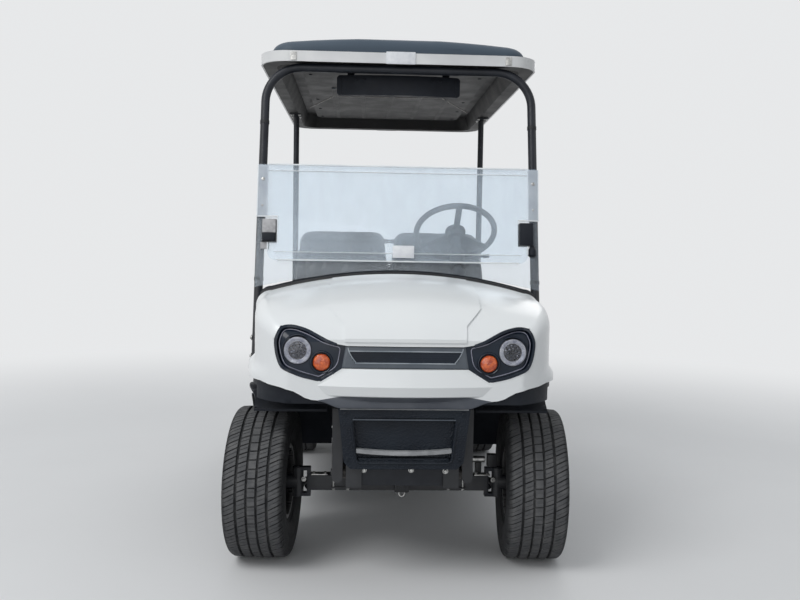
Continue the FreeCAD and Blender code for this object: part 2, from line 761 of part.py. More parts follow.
def make_rear_axle():
    """Transaxle: housing and gear case with a tube to each rear wheel, spring pads and spindles."""
    reach = Size(hub_face_x()) - d.axle_gap
    x, y, z = d.diff_x, rear_axle_y, d.tyre_radius
    tubes = rod("rear_axle_tubes", d.axle_tube_radius, reach * 2, -reach, y, z, X_AXIS)
    ends = reach + d.spindle_length
    spindles = rod("rear_spindles", d.spindle_radius, ends * 2, -ends, y, z, X_AXIS)
    housing = rod("transaxle_bowl", d.diff_radius, 130, x - 65, y, z, X_AXIS)
    gear = rod("transaxle_gear", 66, 110, x - 45, y - 130, z - 34, X_AXIS)
    bridge = box("transaxle_case", 110, 130, 96, x - 45, y - 130, z - 60)
    pads = []
    for name, side in SIDES:
        middle = d.spring_x * side - 35
        pads.append(box(f"spring_pad_{name}", 70, 90, 20, middle, y - 45, z + d.axle_tube_radius - 12))
    return fuse("rear_axle", tubes, spindles, housing, gear, bridge, *pads)


def make_motor():
    """Drive motor flanged to the transaxle."""
    x, y, z = d.diff_x + 65.3, rear_axle_y - 130, d.tyre_radius - 34
    can = rod("motor_can", d.motor_radius, d.motor_length - 40, x, y, z, X_AXIS)
    end = rod("motor_end", d.motor_radius - 16, d.motor_length, x, y, z, X_AXIS)
    return fuse("drive_motor", can, end)


def make_frame():
    """Two box rails with cross members, spring and shock brackets, and the body's steel supports."""
    bumper_back = float(nose_y) + 46 + float(d.lower_bumper_depth)
    front = bumper_back + 12.3
    rear = float(tail_y) - 40
    width, height = float(d.rail_width), float(d.rail_height)
    rail_x, rail_z = float(d.rail_x), float(d.rail_z)
    low, top = float(rail_bottom_z), float(rail_top_z)
    shapes = []
    for side in (1, -1):
        shapes.append(block(width, rear - front, height, side * rail_x, (rear + front) / 2, rail_z))
        shapes.append(block(width + 8, 12, 620 - low, side * rail_x, front - 6, (620 + low) / 2))
        leg_x, leg, foot = float(d.leg_x), float(d.leg_width), float(d.leg_bottom_z)
        shapes.append(block(leg_x - rail_x, 10, 60, side * (leg_x + rail_x) / 2, front - 6, 580))
        shapes.append(block(leg, 8, 610 - foot - leg / 2, side * leg_x, front - 6, (610 + foot + leg / 2) / 2))
        shapes.append(Part.makeCylinder(leg / 2, 8, v(side * leg_x, front - 10, foot + leg / 2), Y_AXIS))
    crossings = (
        front + 20, float(front_axle_y) + 330, float(body_front_y) + 120, float(rear_axle_y) - 330,
        float(rear_axle_y) + 330, rear - 20,
    )
    for y in crossings:
        shapes.append(block(2 * rail_x, 40, height - 10, 0, y, rail_z))
    sill_inner = float(d.body_half_width) - float(d.sill_width)
    for y in (float(front_axle_y) + 460, float(rear_axle_y) - 400):
        shapes.append(block(2 * sill_inner - 0.6, 40, 34, 0, y, low + 18))
    for axle_y, seat_z in ((front_axle_y, front_seat_z), (rear_axle_y, rear_seat_z)):
        _, eye_z = leaf_pack(axle_y, seat_z, 3)
        for way in (-1, 1):
            y = float(axle_y) + way * float(d.spring_span) / 2
            for side in (1, -1):
                face = side * (rail_x + width / 2 - 1)
                end = side * (float(d.spring_x) + float(d.spring_width) / 2 + 6)
                shapes.append(bar(v(face, y, eye_z), v(end, y, eye_z), 8))
                shapes.append(bar(v(end, y, eye_z), v(end - side * 5, y, eye_z), 14))
    for x, y, _ in shock_places():
        reach = x + 24 if x > rail_x else x - 24
        for side in (1, -1):
            shapes.append(block(width, 70, 78, side * rail_x, y, top + 39))
            shapes.append(block(abs(reach - rail_x), 70, 8, side * (reach + rail_x) / 2, y, top + 74))
    inside = float(d.seat_base_z) - float(d.body_wall) - 0.3
    reach = float(d.body_half_width) - float(d.body_wall) - float(d.body_corner)
    supports = ((float(body_front_y) + 21, 26), (float(middle_y), 40), (float(rear_axle_y + d.rear_post_y), 40))
    for y, depth in supports:
        for side in (1, -1):
            shapes.append(block(40, depth, inside - top, side * rail_x, y, (inside + top) / 2))
        shapes.append(block(2 * reach, depth, 36, 0, y, inside - 18))
    plate = float(d.hitch_plate)
    tongue = block(90, 80, plate, 0, rear, low + plate / 2)
    hole = Part.makeCylinder(float(d.hitch_radius), plate + 2, v(0, rear + 18, low - 1))
    return shaped("frame", joined(shapes + [tongue]).cut(hole))


# Front body

def cowl_section(y, half, side_z, top_z, round_r, low_z):
    """One cross-section of the bonnet: flat foot, upright sides, rounded shoulders, arched top."""
    y, half, low_z = float(y), float(half), float(low_z)
    side_z, top_z, r = float(side_z), float(top_z), float(round_r)
    in_x = half - r
    rise = top_z - side_z
    big = (in_x * in_x + rise * rise) / (2 * rise)
    tilt = math.asin(in_x / big)
    corner = v(half - r * (1 - math.cos(math.pi / 4)), y, side_z - r + r * math.sin(math.pi / 4))
    shoulder = v(in_x, y, side_z)
    side_top = v(half, y, side_z - r)

    def flip(p):
        return v(-p.x, p.y, p.z)

    edges = [
        Part.LineSegment(v(-half, y, low_z), v(half, y, low_z)),
        Part.LineSegment(v(half, y, low_z), side_top),
        Part.Arc(side_top, corner, shoulder),
        Part.Arc(shoulder, v(0, y, top_z), flip(shoulder)),
        Part.Arc(flip(shoulder), flip(corner), flip(side_top)),
        Part.LineSegment(flip(side_top), v(-half, y, low_z)),
    ]
    assert tilt < math.pi / 2
    return Part.Wire([e.toShape() for e in edges])


def eased(table, column, at):
    """A smooth value between the rows of a table, whose first column is where each row stands."""
    rows = [row for row in table]
    for n in range(len(rows) - 1):
        if at <= rows[n + 1][0] + 1e-9:
            break
    x0, x1 = rows[n][0], rows[n + 1][0]
    y0, y1 = rows[n][column], rows[n + 1][column]
    slope = (y1 - y0) / (x1 - x0)

    def bend(k):
        if k == 0 or k == len(rows) - 1:
            return slope
        before = (rows[k][column] - rows[k - 1][column]) / (rows[k][0] - rows[k - 1][0])
        after = (rows[k + 1][column] - rows[k][column]) / (rows[k + 1][0] - rows[k][0])
        return 0 if before * after <= 0 else 2 * before * after / (before + after)

    u = (at - x0) / (x1 - x0)
    m0, m1 = bend(n) * (x1 - x0), bend(n + 1) * (x1 - x0)
    a = 2 * u ** 3 - 3 * u ** 2 + 1
    b = u ** 3 - 2 * u ** 2 + u
    c = -2 * u ** 3 + 3 * u ** 2
    e = u ** 3 - u ** 2
    return a * y0 + b * m0 + c * y1 + e * m1


def bonnet(inset):
    """Bonnet and wings behind the bumper, as a solid drawn in by inset on every outer side."""
    t = float(inset)
    rear = float(front_axle_y) + float(d.cowl_rear_y)
    nose = float(nose_y)
    wide, top, side = float(d.cowl_half_width), float(d.cowl_top_z), float(d.cowl_shoulder_z)
    low = float(d.cowl_hem_z) - 60
    stations = (  # y, half width, shoulder height, crown height, shoulder radius
        (nose + 32, wide - 172, side - 130, top - 196, 26),
        (nose + 78, wide - 104, side - 78, top - 132, 40),
        (nose + 170, wide - 44, side - 40, top - 72, 56),
        (nose + 330, wide - 14, side - 12, top - 22, 60),
        (rear, wide, side, top, 60),
    )
    wires = []
    count = 9
    for n in range(count):
        y = stations[0][0] + (rear - stations[0][0]) * (n / (count - 1)) ** 1.6
        half, side_z, top_z, r = (eased(stations, k, y) for k in range(1, 5))
        last = n == count - 1
        shift = 0 if not t else 1 if last else t
        wires.append(cowl_section(y + shift, half - t, side_z - t, top_z - t, r - t / 2, low - (1 if t else 0)))
    return Part.makeLoft(wires, True, False)


def bumper_outline(z, push, inset):
    """One level of the moulded bumper, seen from above. push moves it forwards and outwards."""
    t = float(inset)
    nose = float(nose_y) - push + t
    flat = float(d.bumper_flat_x)
    wide = float(d.cowl_half_width) + 13 + push * 0.4 - t
    rear = float(front_axle_y) + 80
    corner = (flat + push * 0.6 - t * 0.4, nose + 34)
    knee = (wide - 100, nose + 186)
    side = (wide - 27, nose + 356)
    tail = (wide - 32, rear + 50)
    front = Part.Arc(v(-corner[0], corner[1], z), v(0, nose, z), v(corner[0], corner[1], z))
    points = [corner, knee, side, (wide, rear), tail]
    points += [(-x, y) for x, y in reversed(points)]
    edges = [front.toShape()]
    for a, b in zip(points, points[1:]):
        edges.append(Part.LineSegment(v(*a, z), v(*b, z)).toShape())
    return Part.Wire(edges)


def bumper(inset):
    """Moulded bumper under the lamps: tucked lip, crease and ledge, in flat facets."""
    t = float(inset)
    low, high = float(d.bumper_bottom_z), float(d.bumper_top_z)
    levels = (  # height, forward push
        (low - (1 if t else 0), -40),
        (low + 30, -6),
        (low + 61, 0),
        (high - t, -18),
    )
    solids = []
    for (z0, p0), (z1, p1) in zip(levels, levels[1:]):
        wires = [bumper_outline(z0, p0, t), bumper_outline(z1, p1, t)]
        solids.append(Part.makeLoft(wires, True, True))
    whole = joined(solids)
    hem = float(d.cowl_hem_z)
    wide = float(d.cowl_half_width) + 60
    crease = float(d.bumper_flat_x)
    wedge_points = [(crease + 10, low - 30), (crease + 10, low), (crease + 40, low + 2),
                    (crease + 96, hem), (wide, hem), (wide, low - 30)]
    wedge = polygon(wedge_points, "xz", float(nose_y) - 80).extrude(v(0, 700, 0))
    return whole.cut([wedge, wedge.mirror(v(0, 0, 0), X_AXIS)])


def cowl_solid(inset):
    return bonnet(inset).fuse(bumper(inset))


def wheel_clearance(radius, inner_x, outer_x):
    """Round space over a front wheel, out from inner_x, with everything below its middle too."""
    length = float(outer_x) - float(inner_x)
    start = v(inner_x, front_axle_y, d.tyre_radius)
    return Part.makeCylinder(float(radius), length, start, X_AXIS)


LAMP_OUTLINE = (  # x from the centre plane and z over the bumper's ledge, clockwise from the middle
    (0, 76), (190, 77), (225, 83), (256, 96), (325, 132), (375, 144), (411, 139),
    (431, 95), (424, 40), (408, 0), (342, -28), (275, -43), (207, 0), (0, 0),
)


def grown(corners, by):
    """A clockwise outline moved outwards by an even distance, with mitred corners."""
    count = len(corners)
    moved = []
    for i, (x, z) in enumerate(corners):
        x0, z0 = corners[i - 1]
        x1, z1 = corners[(i + 1) % count]
        a, b = math.hypot(x - x0, z - z0), math.hypot(x1 - x, z1 - z)
        n0 = (-(z - z0) / a, (x - x0) / a)
        n1 = (-(z1 - z) / b, (x1 - x) / b)
        share = 1 + n0[0] * n1[0] + n0[1] * n1[1]
        moved.append((x + by * (n0[0] + n1[0]) / share, z + by * (n0[1] + n1[1]) / share))
    return moved


def lamp_outline(grow):
    """The dark band with its two pointed lamp fields, seen from the front, grown on all sides."""
    base = float(d.bumper_top_z)
    stretch = (float(d.grille_top_z) - base) / 76
    corners = mirrored([(x, base + z * stretch) for x, z in LAMP_OUTLINE])
    corners = [c for i, c in enumerate(corners) if c != corners[i - 1]]
    if grow:
        corners = grown(corners, float(grow))
    return polygon(corners, "xz", float(nose_y) - 100).extrude(v(0, 330, 0))


def hood_panel():
    """Raised panel in the middle of the bonnet, wider towards the windscreen."""
    x, foot = float(d.hood_panel_x), float(d.grille_top_z) + float(d.band_overlap)
    outline = mirrored([(0, foot), (x, foot), (x + 4, foot + 55), (x + 58, foot + 108), (x + 72, foot + 400),
                        (0, foot + 400)])
    outline = [p for i, p in enumerate(outline) if p != outline[i - 1]]
    length = float(front_axle_y) + float(d.cowl_rear_y) - 60 - float(nose_y) + 100
    space = polygon(outline, "xz", float(nose_y) - 100).extrude(v(0, length, 0))
    return bonnet(-float(d.hood_panel)).common(space)


def make_cowl():
    """White front cowl: bonnet, wings and bumper in one moulded skin, with the lamp band's opening."""
    outer = cowl_solid(0).fuse(hood_panel())
    inner = cowl_solid(d.cowl_wall)
    shell = outer.cut(inner)
    half = float(d.cowl_half_width)
    low = float(d.cowl_hem_z) - 90
    below = block(4 * half, 3000, 60, 0, 0, float(d.bumper_bottom_z) - 30)
    front = float(nose_y) + 150
    under = block(4 * half, 1200, float(d.cowl_hem_z) - low, 0, front + 600, (float(d.cowl_hem_z) + low) / 2)
    arch = wheel_clearance(d.cowl_arch_radius, -2 * half, 2 * half)
    behind = block(4 * half, 400, 800, 0, float(front_axle_y) + float(d.cowl_rear_y) + 200, 900)
    return shaped("front_cowl", shell.cut([below, under, arch, behind, lamp_outline(0)]))


def lamp_seat(x, z):
    """How far forward the lamp band's face lies at a point of the front view."""
    face = cowl_solid(d.cowl_wall + d.band_gap)
    ray = Part.LineSegment(v(x, float(nose_y) - 100, z), v(x, front_axle_y, z)).toShape()
    return min(p.Point.y for p in ray.common(face).Vertexes)


def make_lamp_band():
    """Dark band behind the cowl's opening, with three bars of grille and a hole for each lamp."""
    near = cowl_solid(d.cowl_wall + d.band_gap)
    far = cowl_solid(d.cowl_wall + d.band_gap + d.band_thickness)
    skin = near.cut(far)
    band = skin.common(lamp_outline(d.band_overlap))
    holes = []
    for x, z, r in ((d.lamp_x, d.lamp_z, d.lamp_radius), (d.turn_x, d.turn_z, d.turn_radius)):
        for side in (1, -1):
            holes.append(Part.makeCylinder(float(r) + 0.3, 400, v(side * float(x), float(nose_y) - 100, z), Y_AXIS))
    return shaped("lamp_band", band.cut(holes))


def make_lamps(label, x, z, radius, lens_proud):
    """A pair of round lamps that stand in the band: domed lens, body and back."""
    seat = lamp_seat(x, z)
    r = float(radius)
    body = Part.makeCylinder(r, float(d.lamp_depth), v(x, seat, z), Y_AXIS)
    proud = float(lens_proud)
    ball = (r * r + proud * proud) / (2 * proud)
    dome = Part.makeSphere(ball, v(x, seat - proud + ball, z))
    cap = dome.common(Part.makeCylinder(r, proud + 1, v(x, seat - proud - 1, z), Y_AXIS).fuse(body))
    return shaped(label, both_sides(joined([body, cap])))


def make_front_bumper():
    """Black lower bumper: a tapering box with a sunk panel, under the cowl's lip."""
    part = Body("front_bumper")
    top = d.bumper_bottom_z - 0.3
    half = d.lower_bumper_half
    outline = [
        (-half, top), (half, top), (half - 22, d.lower_bumper_z + 22), (half - 44, d.lower_bumper_z),
        (-(half - 44), d.lower_bumper_z), (-(half - 22), d.lower_bumper_z + 22),
    ]
    front = -(nose_y + 46)
    part.pad(part.sketch("XZ_Plane", "front", outline, offset=front - d.lower_bumper_depth), d.lower_bumper_depth)
    sunk = [
        (-(half - 50), top - 46), (half - 50, top - 46), (half - 66, d.lower_bumper_z + 26),
        (-(half - 66), d.lower_bumper_z + 26),
    ]
    part.pocket(part.sketch("XZ_Plane", "panel", sunk, offset=front), d.recess_depth, name="panel_recess")
    part.fillet(9, along(Y_AXIS))
    return part.body


def make_liners():
    """Wheel arch liner over each front wheel: under the cowl, and wider behind it."""
    r, t = float(d.liner_radius), float(d.liner_thickness)
    start = float(d.liner_inner_x)
    cowl_rear = float(front_axle_y) + float(d.cowl_rear_y)
    front_y = float(front_axle_y) - r * 0.55
    shapes = []
    for outer_x, y0, y1 in ((float(d.cowl_half_width) - 4, front_y, cowl_rear + 2),
                            (float(d.body_half_width) - 20, cowl_rear + 1, cowl_rear + 600)):
        width = outer_x - start
        place_at = v(start, front_axle_y, d.tyre_radius)
        ring = Part.makeCylinder(r + t, width, place_at, X_AXIS).cut(Part.makeCylinder(r, width, place_at, X_AXIS))
        keep = Part.makeBox(width, y1 - y0, 700, v(start, y0, float(d.tyre_radius) + 60))
        shapes.append(ring.common(keep))
    return shaped("wheel_liners", both_sides(joined(shapes)))


def make_dash():
    """Black dash across the cart: arched top, collar inside the cowl, open pockets to the rear."""
    front = float(dash_front_y)
    depth, t = float(d.dash_depth), float(d.dash_wall)
    lip, foot = float(d.dash_lip), float(d.dash_bottom_z)
    inset = float(d.cowl_wall) + 0.3

    def level(y, grow, low):
        half = float(d.cowl_half_width) - inset + grow
        side_z = float(d.cowl_shoulder_z) + lip + grow
        return cowl_section(y, half, side_z, float(d.cowl_top_z) + lip + grow, 50, low)

    outer = Part.makeLoft([level(front, 0, foot), level(front + depth, -32, foot)], True, True)
    hollow = Part.makeLoft(
        [level(front + t, -t, foot + t), level(front + depth - t, -32 - t, foot + t)], True, True
    )
    collar = bonnet(inset).cut(bonnet(inset + t))
    collar = collar.common(block(2000, float(d.dash_collar), 500, 0, front - float(d.dash_collar) / 2, foot + 250))
    reach = float(d.cowl_half_width) - inset - t
    mouth = cowl_section(front - 1, reach, float(d.cowl_shoulder_z) - inset - t,
                         float(d.cowl_top_z) - inset - t, 50, foot + t)
    window = Part.Face(mouth).extrude(v(0, t + 2, 0))
    shell = outer.cut([hollow, window]).fuse(collar)
    cups, spaces = [], []
    for x, width, height in ((-300, 300, 110), (0, 150, 110), (232, 90, 90)):
        z = foot + 110
        cups.append(block(width + 2 * t, depth - 30, height + 2 * t, x, front + 30 + (depth - 30) / 2 - t / 2, z))
        spaces.append(block(width, depth - 30, height, x, front + 30 + t + (depth - 30) / 2, z))
    cups = [c.common(outer) for c in cups]
    return shaped("dashboard", joined([shell] + cups).cut(spaces))


def make_floor():
    """Floor, sloping toe board and the bulkhead that carries the dash."""
    part = Body("floor_pan")
    rear = body_front_y - 0.3
    foot = toe_foot_y
    t = d.floor_thickness
    top, shelf = d.dash_bottom_z - 0.3, dash_front_y + 12
    outline = [
        (rear, d.floor_z), (foot, d.floor_z), (foot - d.toe_run, d.toe_top_z), (foot - d.toe_run, top - t),
        (shelf, top - t), (shelf, top), (foot - d.toe_run - t, top), (foot - d.toe_run - t, d.toe_top_z - 12),
        (foot - t * 0.6, d.floor_z - t), (rear, d.floor_z - t),
    ]
    half = d.body_half_width - d.sill_width
    part.pad(part.sketch("YZ_Plane", "side", outline), half * 2 - 0.6, midplane=True)
    return part.body


def make_sills():
    """Side sills along the floor, between the wheel arches."""
    front = toe_foot_y + 6
    rear = rear_axle_y - d.body_arch_radius - 10
    outer = float(d.body_half_width)
    inner = outer - float(d.sill_width)
    low, top = float(d.sill_bottom_z), float(d.floor_z) + 14
    section = [
        (inner, low + 50), (inner + 26, low), (outer - 26, low), (outer, low + 34), (outer, top - 6),
        (outer - 4, top), (inner, top),
    ]
    bar_shape = polygon(section, "xz", front).extrude(v(0, rear - front, 0))
    return shaped("side_sills", both_sides(bar_shape))


# Rear body, seats and footplate

def body_profile(inset):
    """Side view of the rear body, from the seat's front to the tail."""
    t = float(inset)
    front, tail = float(body_front_y) + t, float(body_tail_y) - t
    top, low = float(d.seat_base_z) - t, float(body_hem_z) - (1 if t else 0)
    return [
        (front, low), (front, top), (tail, top), (tail, top - 150), (tail - 14, low),
    ]


def rear_body_solid(inset):
    half = float(d.body_half_width) - float(inset)
    side = polygon(body_profile(inset), "yz", -half).extrude(v(2 * half, 0, 0))
    long_edges = [
        e for e in side.Edges
        if isinstance(e.Curve, Part.Line) and abs(e.tangentAt(e.FirstParameter).y) > 0.9
        and e.CenterOfMass.z > float(d.seat_base_z) - float(inset) - 2
    ]
    return side.makeFillet(float(d.body_corner) - float(inset), long_edges)


def make_rear_body():
    """White rear body: one moulded skin with wheel arches, open below and over the batteries."""
    shell = rear_body_solid(0).cut(rear_body_solid(d.body_wall))
    half = float(d.body_half_width)
    arch = Part.makeCylinder(
        float(d.body_arch_radius), 2 * half + 20, v(-half - 10, rear_axle_y, d.tyre_radius), X_AXIS
    )
    hatch = block(
        2 * float(d.battery_half) + 40, float(d.battery_length), 60,
        0, float(battery_middle_y()), float(d.seat_base_z),
    )
    return shaped("rear_body", shell.cut([arch, hatch]))


def battery_middle_y():
    return body_front_y + 40 + d.battery_length / 2


def make_battery():
    """Battery pack between the rails under the front seat, one plain block."""
    return box(
        "battery_pack", d.battery_half * 2, d.battery_length, d.battery_height,
        -d.battery_half, battery_middle_y() - d.battery_length / 2, rail_top_z + 0.3,
    )


def cushion(label, half_width, depth, height, x, y, z):
    part = Body(label)
    outline = [(-half_width, 0), (half_width, 0), (half_width, depth), (-half_width, depth)]
    part.pad(part.sketch("XY_Plane", "plan", outline), height)
    part.fillet(46, along(Z_AXIS), name="corners")

    def upper(edge):
        return edge.BoundBox.ZMin > float(height) - 0.01

    part.fillet(26, upper, name="crown")
    place(part.body, x, y, z)
    return part.body


def make_front_cushion():
    return cushion("front_seat_cushion", seat_half_width, d.seat_depth, d.cushion_height - d.board_thickness,
                   0, seat_front_y, d.seat_base_z + 0.6 + d.board_thickness)


def make_rear_cushion():
    return cushion("rear_seat_cushion", seat_half_width - 20, rear_seat_depth, d.cushion_height - d.deck_thickness,
                   0, rear_seat_y, d.seat_base_z + 0.6 + d.deck_thickness)


def make_rear_deck():
    """Flat deck under the rear cushion. With the seat flipped over it becomes a load floor."""
    length = rear_hinge_y - 12 - rear_seat_y
    board = box("deck_board", (seat_half_width - 12) * 2, length, d.deck_thickness,
                -(seat_half_width - 12), rear_seat_y, d.seat_base_z + 0.3)
    return hinged("rear_seat_deck", board, rear_hinge_y, rear_hinge_z, d.deck_thickness)


def hinged(label, board, axis_y, axis_z, thickness):
    """A seat's board with its two hinge eyes, each bored for a pin."""
    eyes, bores = [], []
    for name, side in SIDES:
        x = d.hinge_x * side - 20
        eye = rod(f"{label}_eye_{name}", thickness / 2, 40, x, axis_y, axis_z, X_AXIS)
        tongue = box(f"{label}_tongue_{name}", 40, 20, thickness, x, axis_y - 20, axis_z - thickness / 2)
        eyes += [eye, tongue]
        bores.append(rod(f"{label}_bore_{name}", d.hinge_radius + 0.05, 44, x - 2, axis_y, axis_z, X_AXIS))
    return cut(label, fuse(f"{label}_whole", board, *eyes), *bores)


def make_front_board():
    """Board under the front cushion, hinged at its rear edge over the batteries."""
    length = front_hinge_y - 12 - seat_front_y - 8
    board = box("seat_board", (seat_half_width - 12) * 2, length, d.board_thickness,
                -(seat_half_width - 12), seat_front_y + 8, d.seat_base_z + 0.3)
    return hinged("front_seat_board", board, front_hinge_y, front_hinge_z, d.board_thickness)


def hinge_bracket(side, axis_y, axis_z, foot, plate):
    """Two ears and a pin for one hinge eye. foot is the ears' outline in side view, plate their base."""
    x = side * float(d.hinge_x)
    shapes = [plate]
    for way in (-1, 1):
        ear = polygon(foot, "yz", x + way * 23 - 2).extrude(v(4, 0, 0))
        shapes.append(ear.fuse(Part.makeCylinder(6, 4, v(x + way * 23 - 2, axis_y, axis_z), X_AXIS)))
    shapes.append(Part.makeCylinder(float(d.hinge_radius), 52, v(x - 26, axis_y, axis_z), X_AXIS))
    return joined(shapes)


def make_hinges():
    """Hinge brackets of both seats: behind the front board on the body, and on the tail for the rear deck."""
    base = float(d.seat_base_z) + 0.3
    tail = float(body_tail_y) + 0.3
    shapes = []
    for side in (1, -1):
        x = side * float(d.hinge_x)
        y, z = float(front_hinge_y), float(front_hinge_z)
        foot = [(y - 6, base), (y + 22, base), (y + 22, base + 6), (y, z + 6), (y - 6, z)]
        plate = block(60, 16, 3, x, y + 18, base + 1.5)
        shapes.append(hinge_bracket(side, y, z, foot, plate))
        y, z = float(rear_hinge_y), float(rear_hinge_z)
        foot = [(tail, base - 40), (y + 6, base - 24), (y + 6, z), (y - 6, z), (y - 6, base - 3), (tail, base - 3)]
        plate = block(60, 4, 40, x, tail + 2, base - 23)
        shapes.append(hinge_bracket(side, y, z, foot, plate))
    return shaped("seat_hinges", Part.Compound(shapes))


def back_shape(y, lean):
    """One seat back: a padded panel with rounded corners, narrower at the top, leaning."""
    w, height, t = float(back_half_width), float(d.back_height), float(d.back_thickness)
    outline = [(-w, 0), (w, 0), (w, height * 0.55), (w - 26, height), (-w + 26, height), (-w, height * 0.55)]
    panel = polygon(outline, "xz", 0).extrude(v(0, t, 0))
    upright = [e for e in panel.Edges if abs(e.tangentAt(e.FirstParameter).y) > 0.99]
    panel = panel.makeFillet(42, upright)
    rim = [e for e in panel.Edges if e.BoundBox.YLength < 0.01]
    panel = panel.makeFillet(20, rim)
    panel.Placement = Placement(v(0, y, back_low_z), Rotation(X_AXIS, -float(lean)))
    return panel


def make_backs(label, y, lean):
    shapes = []
    for side in (1, -1):
        one = back_shape(y, lean)
        one.translate(v(side * (float(back_half_width) + float(d.back_split) / 2), 0, 0))
        shapes.append(one)
    return shaped(label, Part.Compound(shapes))


def make_seat_frame():
    """Steel frame between the seat backs, and the hip restraint beside each end of the front seat."""
    middle = float(middle_y)
    base = float(d.seat_base_z) + 0.3
    low = float(back_low_z)
    half = 2 * float(back_half_width) - 41
    front_face = float(back_front_y) + float(d.back_thickness) / math.cos(math.radians(float(d.back_lean))) + 0.3
    rear_face = float(rear_back_y) - 0.3
    top = low + float(d.back_height) * 0.5
    shapes = []
    for x in (15 - half, -120, 120, half - 15):
        shapes.append(block(30, 26, top - 10 - base, x, middle, (top - 10 + base) / 2))
    for z in (low + 30, top - 34):
        run0, run1 = (z - low) * back_slope, (z + 34 - low) * back_slope
        side = [(front_face + run0, z), (rear_face - run0, z), (rear_face - run1, z + 34), (front_face + run1, z + 34)]
        shapes.append(polygon(side, "yz", -half).extrude(v(2 * half, 0, 0)))
    shapes.append(block(2 * float(rear_post_x) - 40, 40, 8, 0, middle, base + 4))
    r = float(d.rest_radius)
    for side in (1, -1):
        x = side * float(rest_x)
        high = base + float(d.rest_rise)
        y = float(seat_front_y) + 160
        path = [v(x, y, base), v(x, y, high), v(x, middle, high), v(x, middle, base)]
        shapes.append(tube(path, r, 60))
        shapes.append(block(34, (middle - y) * 0.39, 34, x, y + (middle - y) * 0.35, high))
    return shaped("seat_frame", joined(shapes))


def make_footplate():
    """Rear footplate with its side gussets to the frame, and the grab bar over it."""
    half, t = float(d.plate_half_width), float(d.plate_thickness)
    y0, y1 = float(plate_front_y), float(tail_y)
    z = float(plate_z)
    grab_z = z + float(d.grab_rise)
    plate = block(2 * half, y1 - y0, t, 0, (y0 + y1) / 2, z - t / 2)
    kick = block(2 * half, t, 60, 0, y0 + t / 2, z + 20)
    r = float(d.grab_radius)
    path = [
        v(-190, y1 - 40, z - t / 2), v(-190, y1 - 40, grab_z), v(190, y1 - 40, grab_z),
        v(190, y1 - 40, z - t / 2),
    ]
    return shaped("footplate", joined([plate, kick, tube(path, r, 70)]))


# Windscreen, roof and mirror

LEAN = Placement(
    v(0, front_axle_y + d.hoop_foot_y, d.hoop_foot_z), Rotation(X_AXIS, -float(d.hoop_lean))
)


def make_hoop():
    """Windscreen hoop: one bent tube, with a foot plate at each end and the screen's clips."""
    half = float(d.hoop_half_width)
    lean = math.cos(math.radians(float(d.hoop_lean)))
    top = (float(d.roof_bottom_z) - 0.3 - float(d.hoop_foot_z) - float(d.hoop_radius)) / lean
    high = half - float(d.hoop_taper)
    path = [v(-half, 0, 0), v(-high, 0, top), v(high, 0, top), v(half, 0, 0)]
    shapes = [tube(path, d.hoop_radius, d.hoop_bend)]
    clip_top = float(d.pane_split) - float(d.ear_drop) - 6
    for side in (1, -1):
        plate_x = float(d.cowl_half_width) - float(d.cowl_wall)
        shapes.append(block(half - plate_x, 40, 120, side * (half + plate_x) / 2, 0, 62))
        x = side * (half - 44)
        shapes.append(block(56, 34, float(d.clip_height), x, -16, clip_top - float(d.clip_height) / 2))
    shape = joined(shapes)
    item = shaped("front_hoop", shape)
    item.Placement = LEAN
    return item


def pane_y():
    """Middle of the fixed pane in the hoop's own frame."""
    return -(float(d.hoop_radius) + 0.3 + float(d.pane_thickness) / 2)


def make_lower_pane():
    """Fixed lower pane, its foot arched along the cowl."""
    low, high = float(d.pane_bottom), float(d.pane_split)
    half = float(d.hoop_half_width) + float(d.hoop_radius) - 8
    upper = half - float(d.hoop_taper) * 0.6
    crown = low + (float(d.cowl_top_z) - float(d.cowl_shoulder_z)) * 0.98
    t = float(d.pane_thickness)
    y = pane_y() - t / 2
    edges = [
        Part.Arc(v(-half, y, low), v(0, y, crown), v(half, y, low)),
        Part.LineSegment(v(half, y, low), v(upper, y, high)),
        Part.LineSegment(v(upper, y, high), v(-upper, y, high)),
        Part.LineSegment(v(-upper, y, high), v(-half, y, low)),
    ]
    face = Part.Face(Part.Wire([e.toShape() for e in edges]))
    clip_top = float(d.pane_split) - float(d.ear_drop) - 6
    notches = []
    for side in (1, -1):
        notches.append(block(58, 60, float(d.clip_height) + 2, side * (float(d.hoop_half_width) - 44), 0,
                             clip_top - float(d.clip_height) / 2))
    item = shaped("windscreen_lower", face.extrude(v(0, t, 0)).cut(notches))
    item.Placement = LEAN
    return item


def make_folded_pane():
    """Upper pane folded down in front of the lower one: wide ears above, narrower below."""
    top = float(d.pane_split) - 4
    t = float(d.pane_thickness)
    y = pane_y() - t * 1.5 - float(d.pane_gap)
    ear, narrow = float(d.ear_half_width), float(d.folded_half_width)
    ear_low, low = top - float(d.ear_drop) + 8, top - float(d.folded_drop)
    notch = ear_low - float(d.clip_height) - 12
    outline = mirrored([(0, top), (ear, top), (ear, ear_low), (narrow - 40, ear_low), (narrow - 40, notch),
                        (narrow, notch), (narrow, low), (0, low)])
    outline = [p for i, p in enumerate(outline) if p != outline[i - 1]]
    pane = polygon(outline, "xz", y).extrude(v(0, t, 0))
    lower = [
        e for e in pane.Edges
        if abs(e.tangentAt(e.FirstParameter).y) > 0.99 and e.CenterOfMass.z < low + 1
    ]
    pane = pane.makeFillet(36, lower)
    hinge = block(2 * narrow - 60, float(d.pane_gap) + 2 * t, 12, 0, y + t + float(d.pane_gap) / 2, top - 2)
    slot = block(2 * narrow - 60, t + 0.6, 30, 0, pane_y(), top - 2)
    item = shaped("windscreen_folded", joined([pane, hinge.cut(slot)]))
    item.Placement = LEAN
    return item


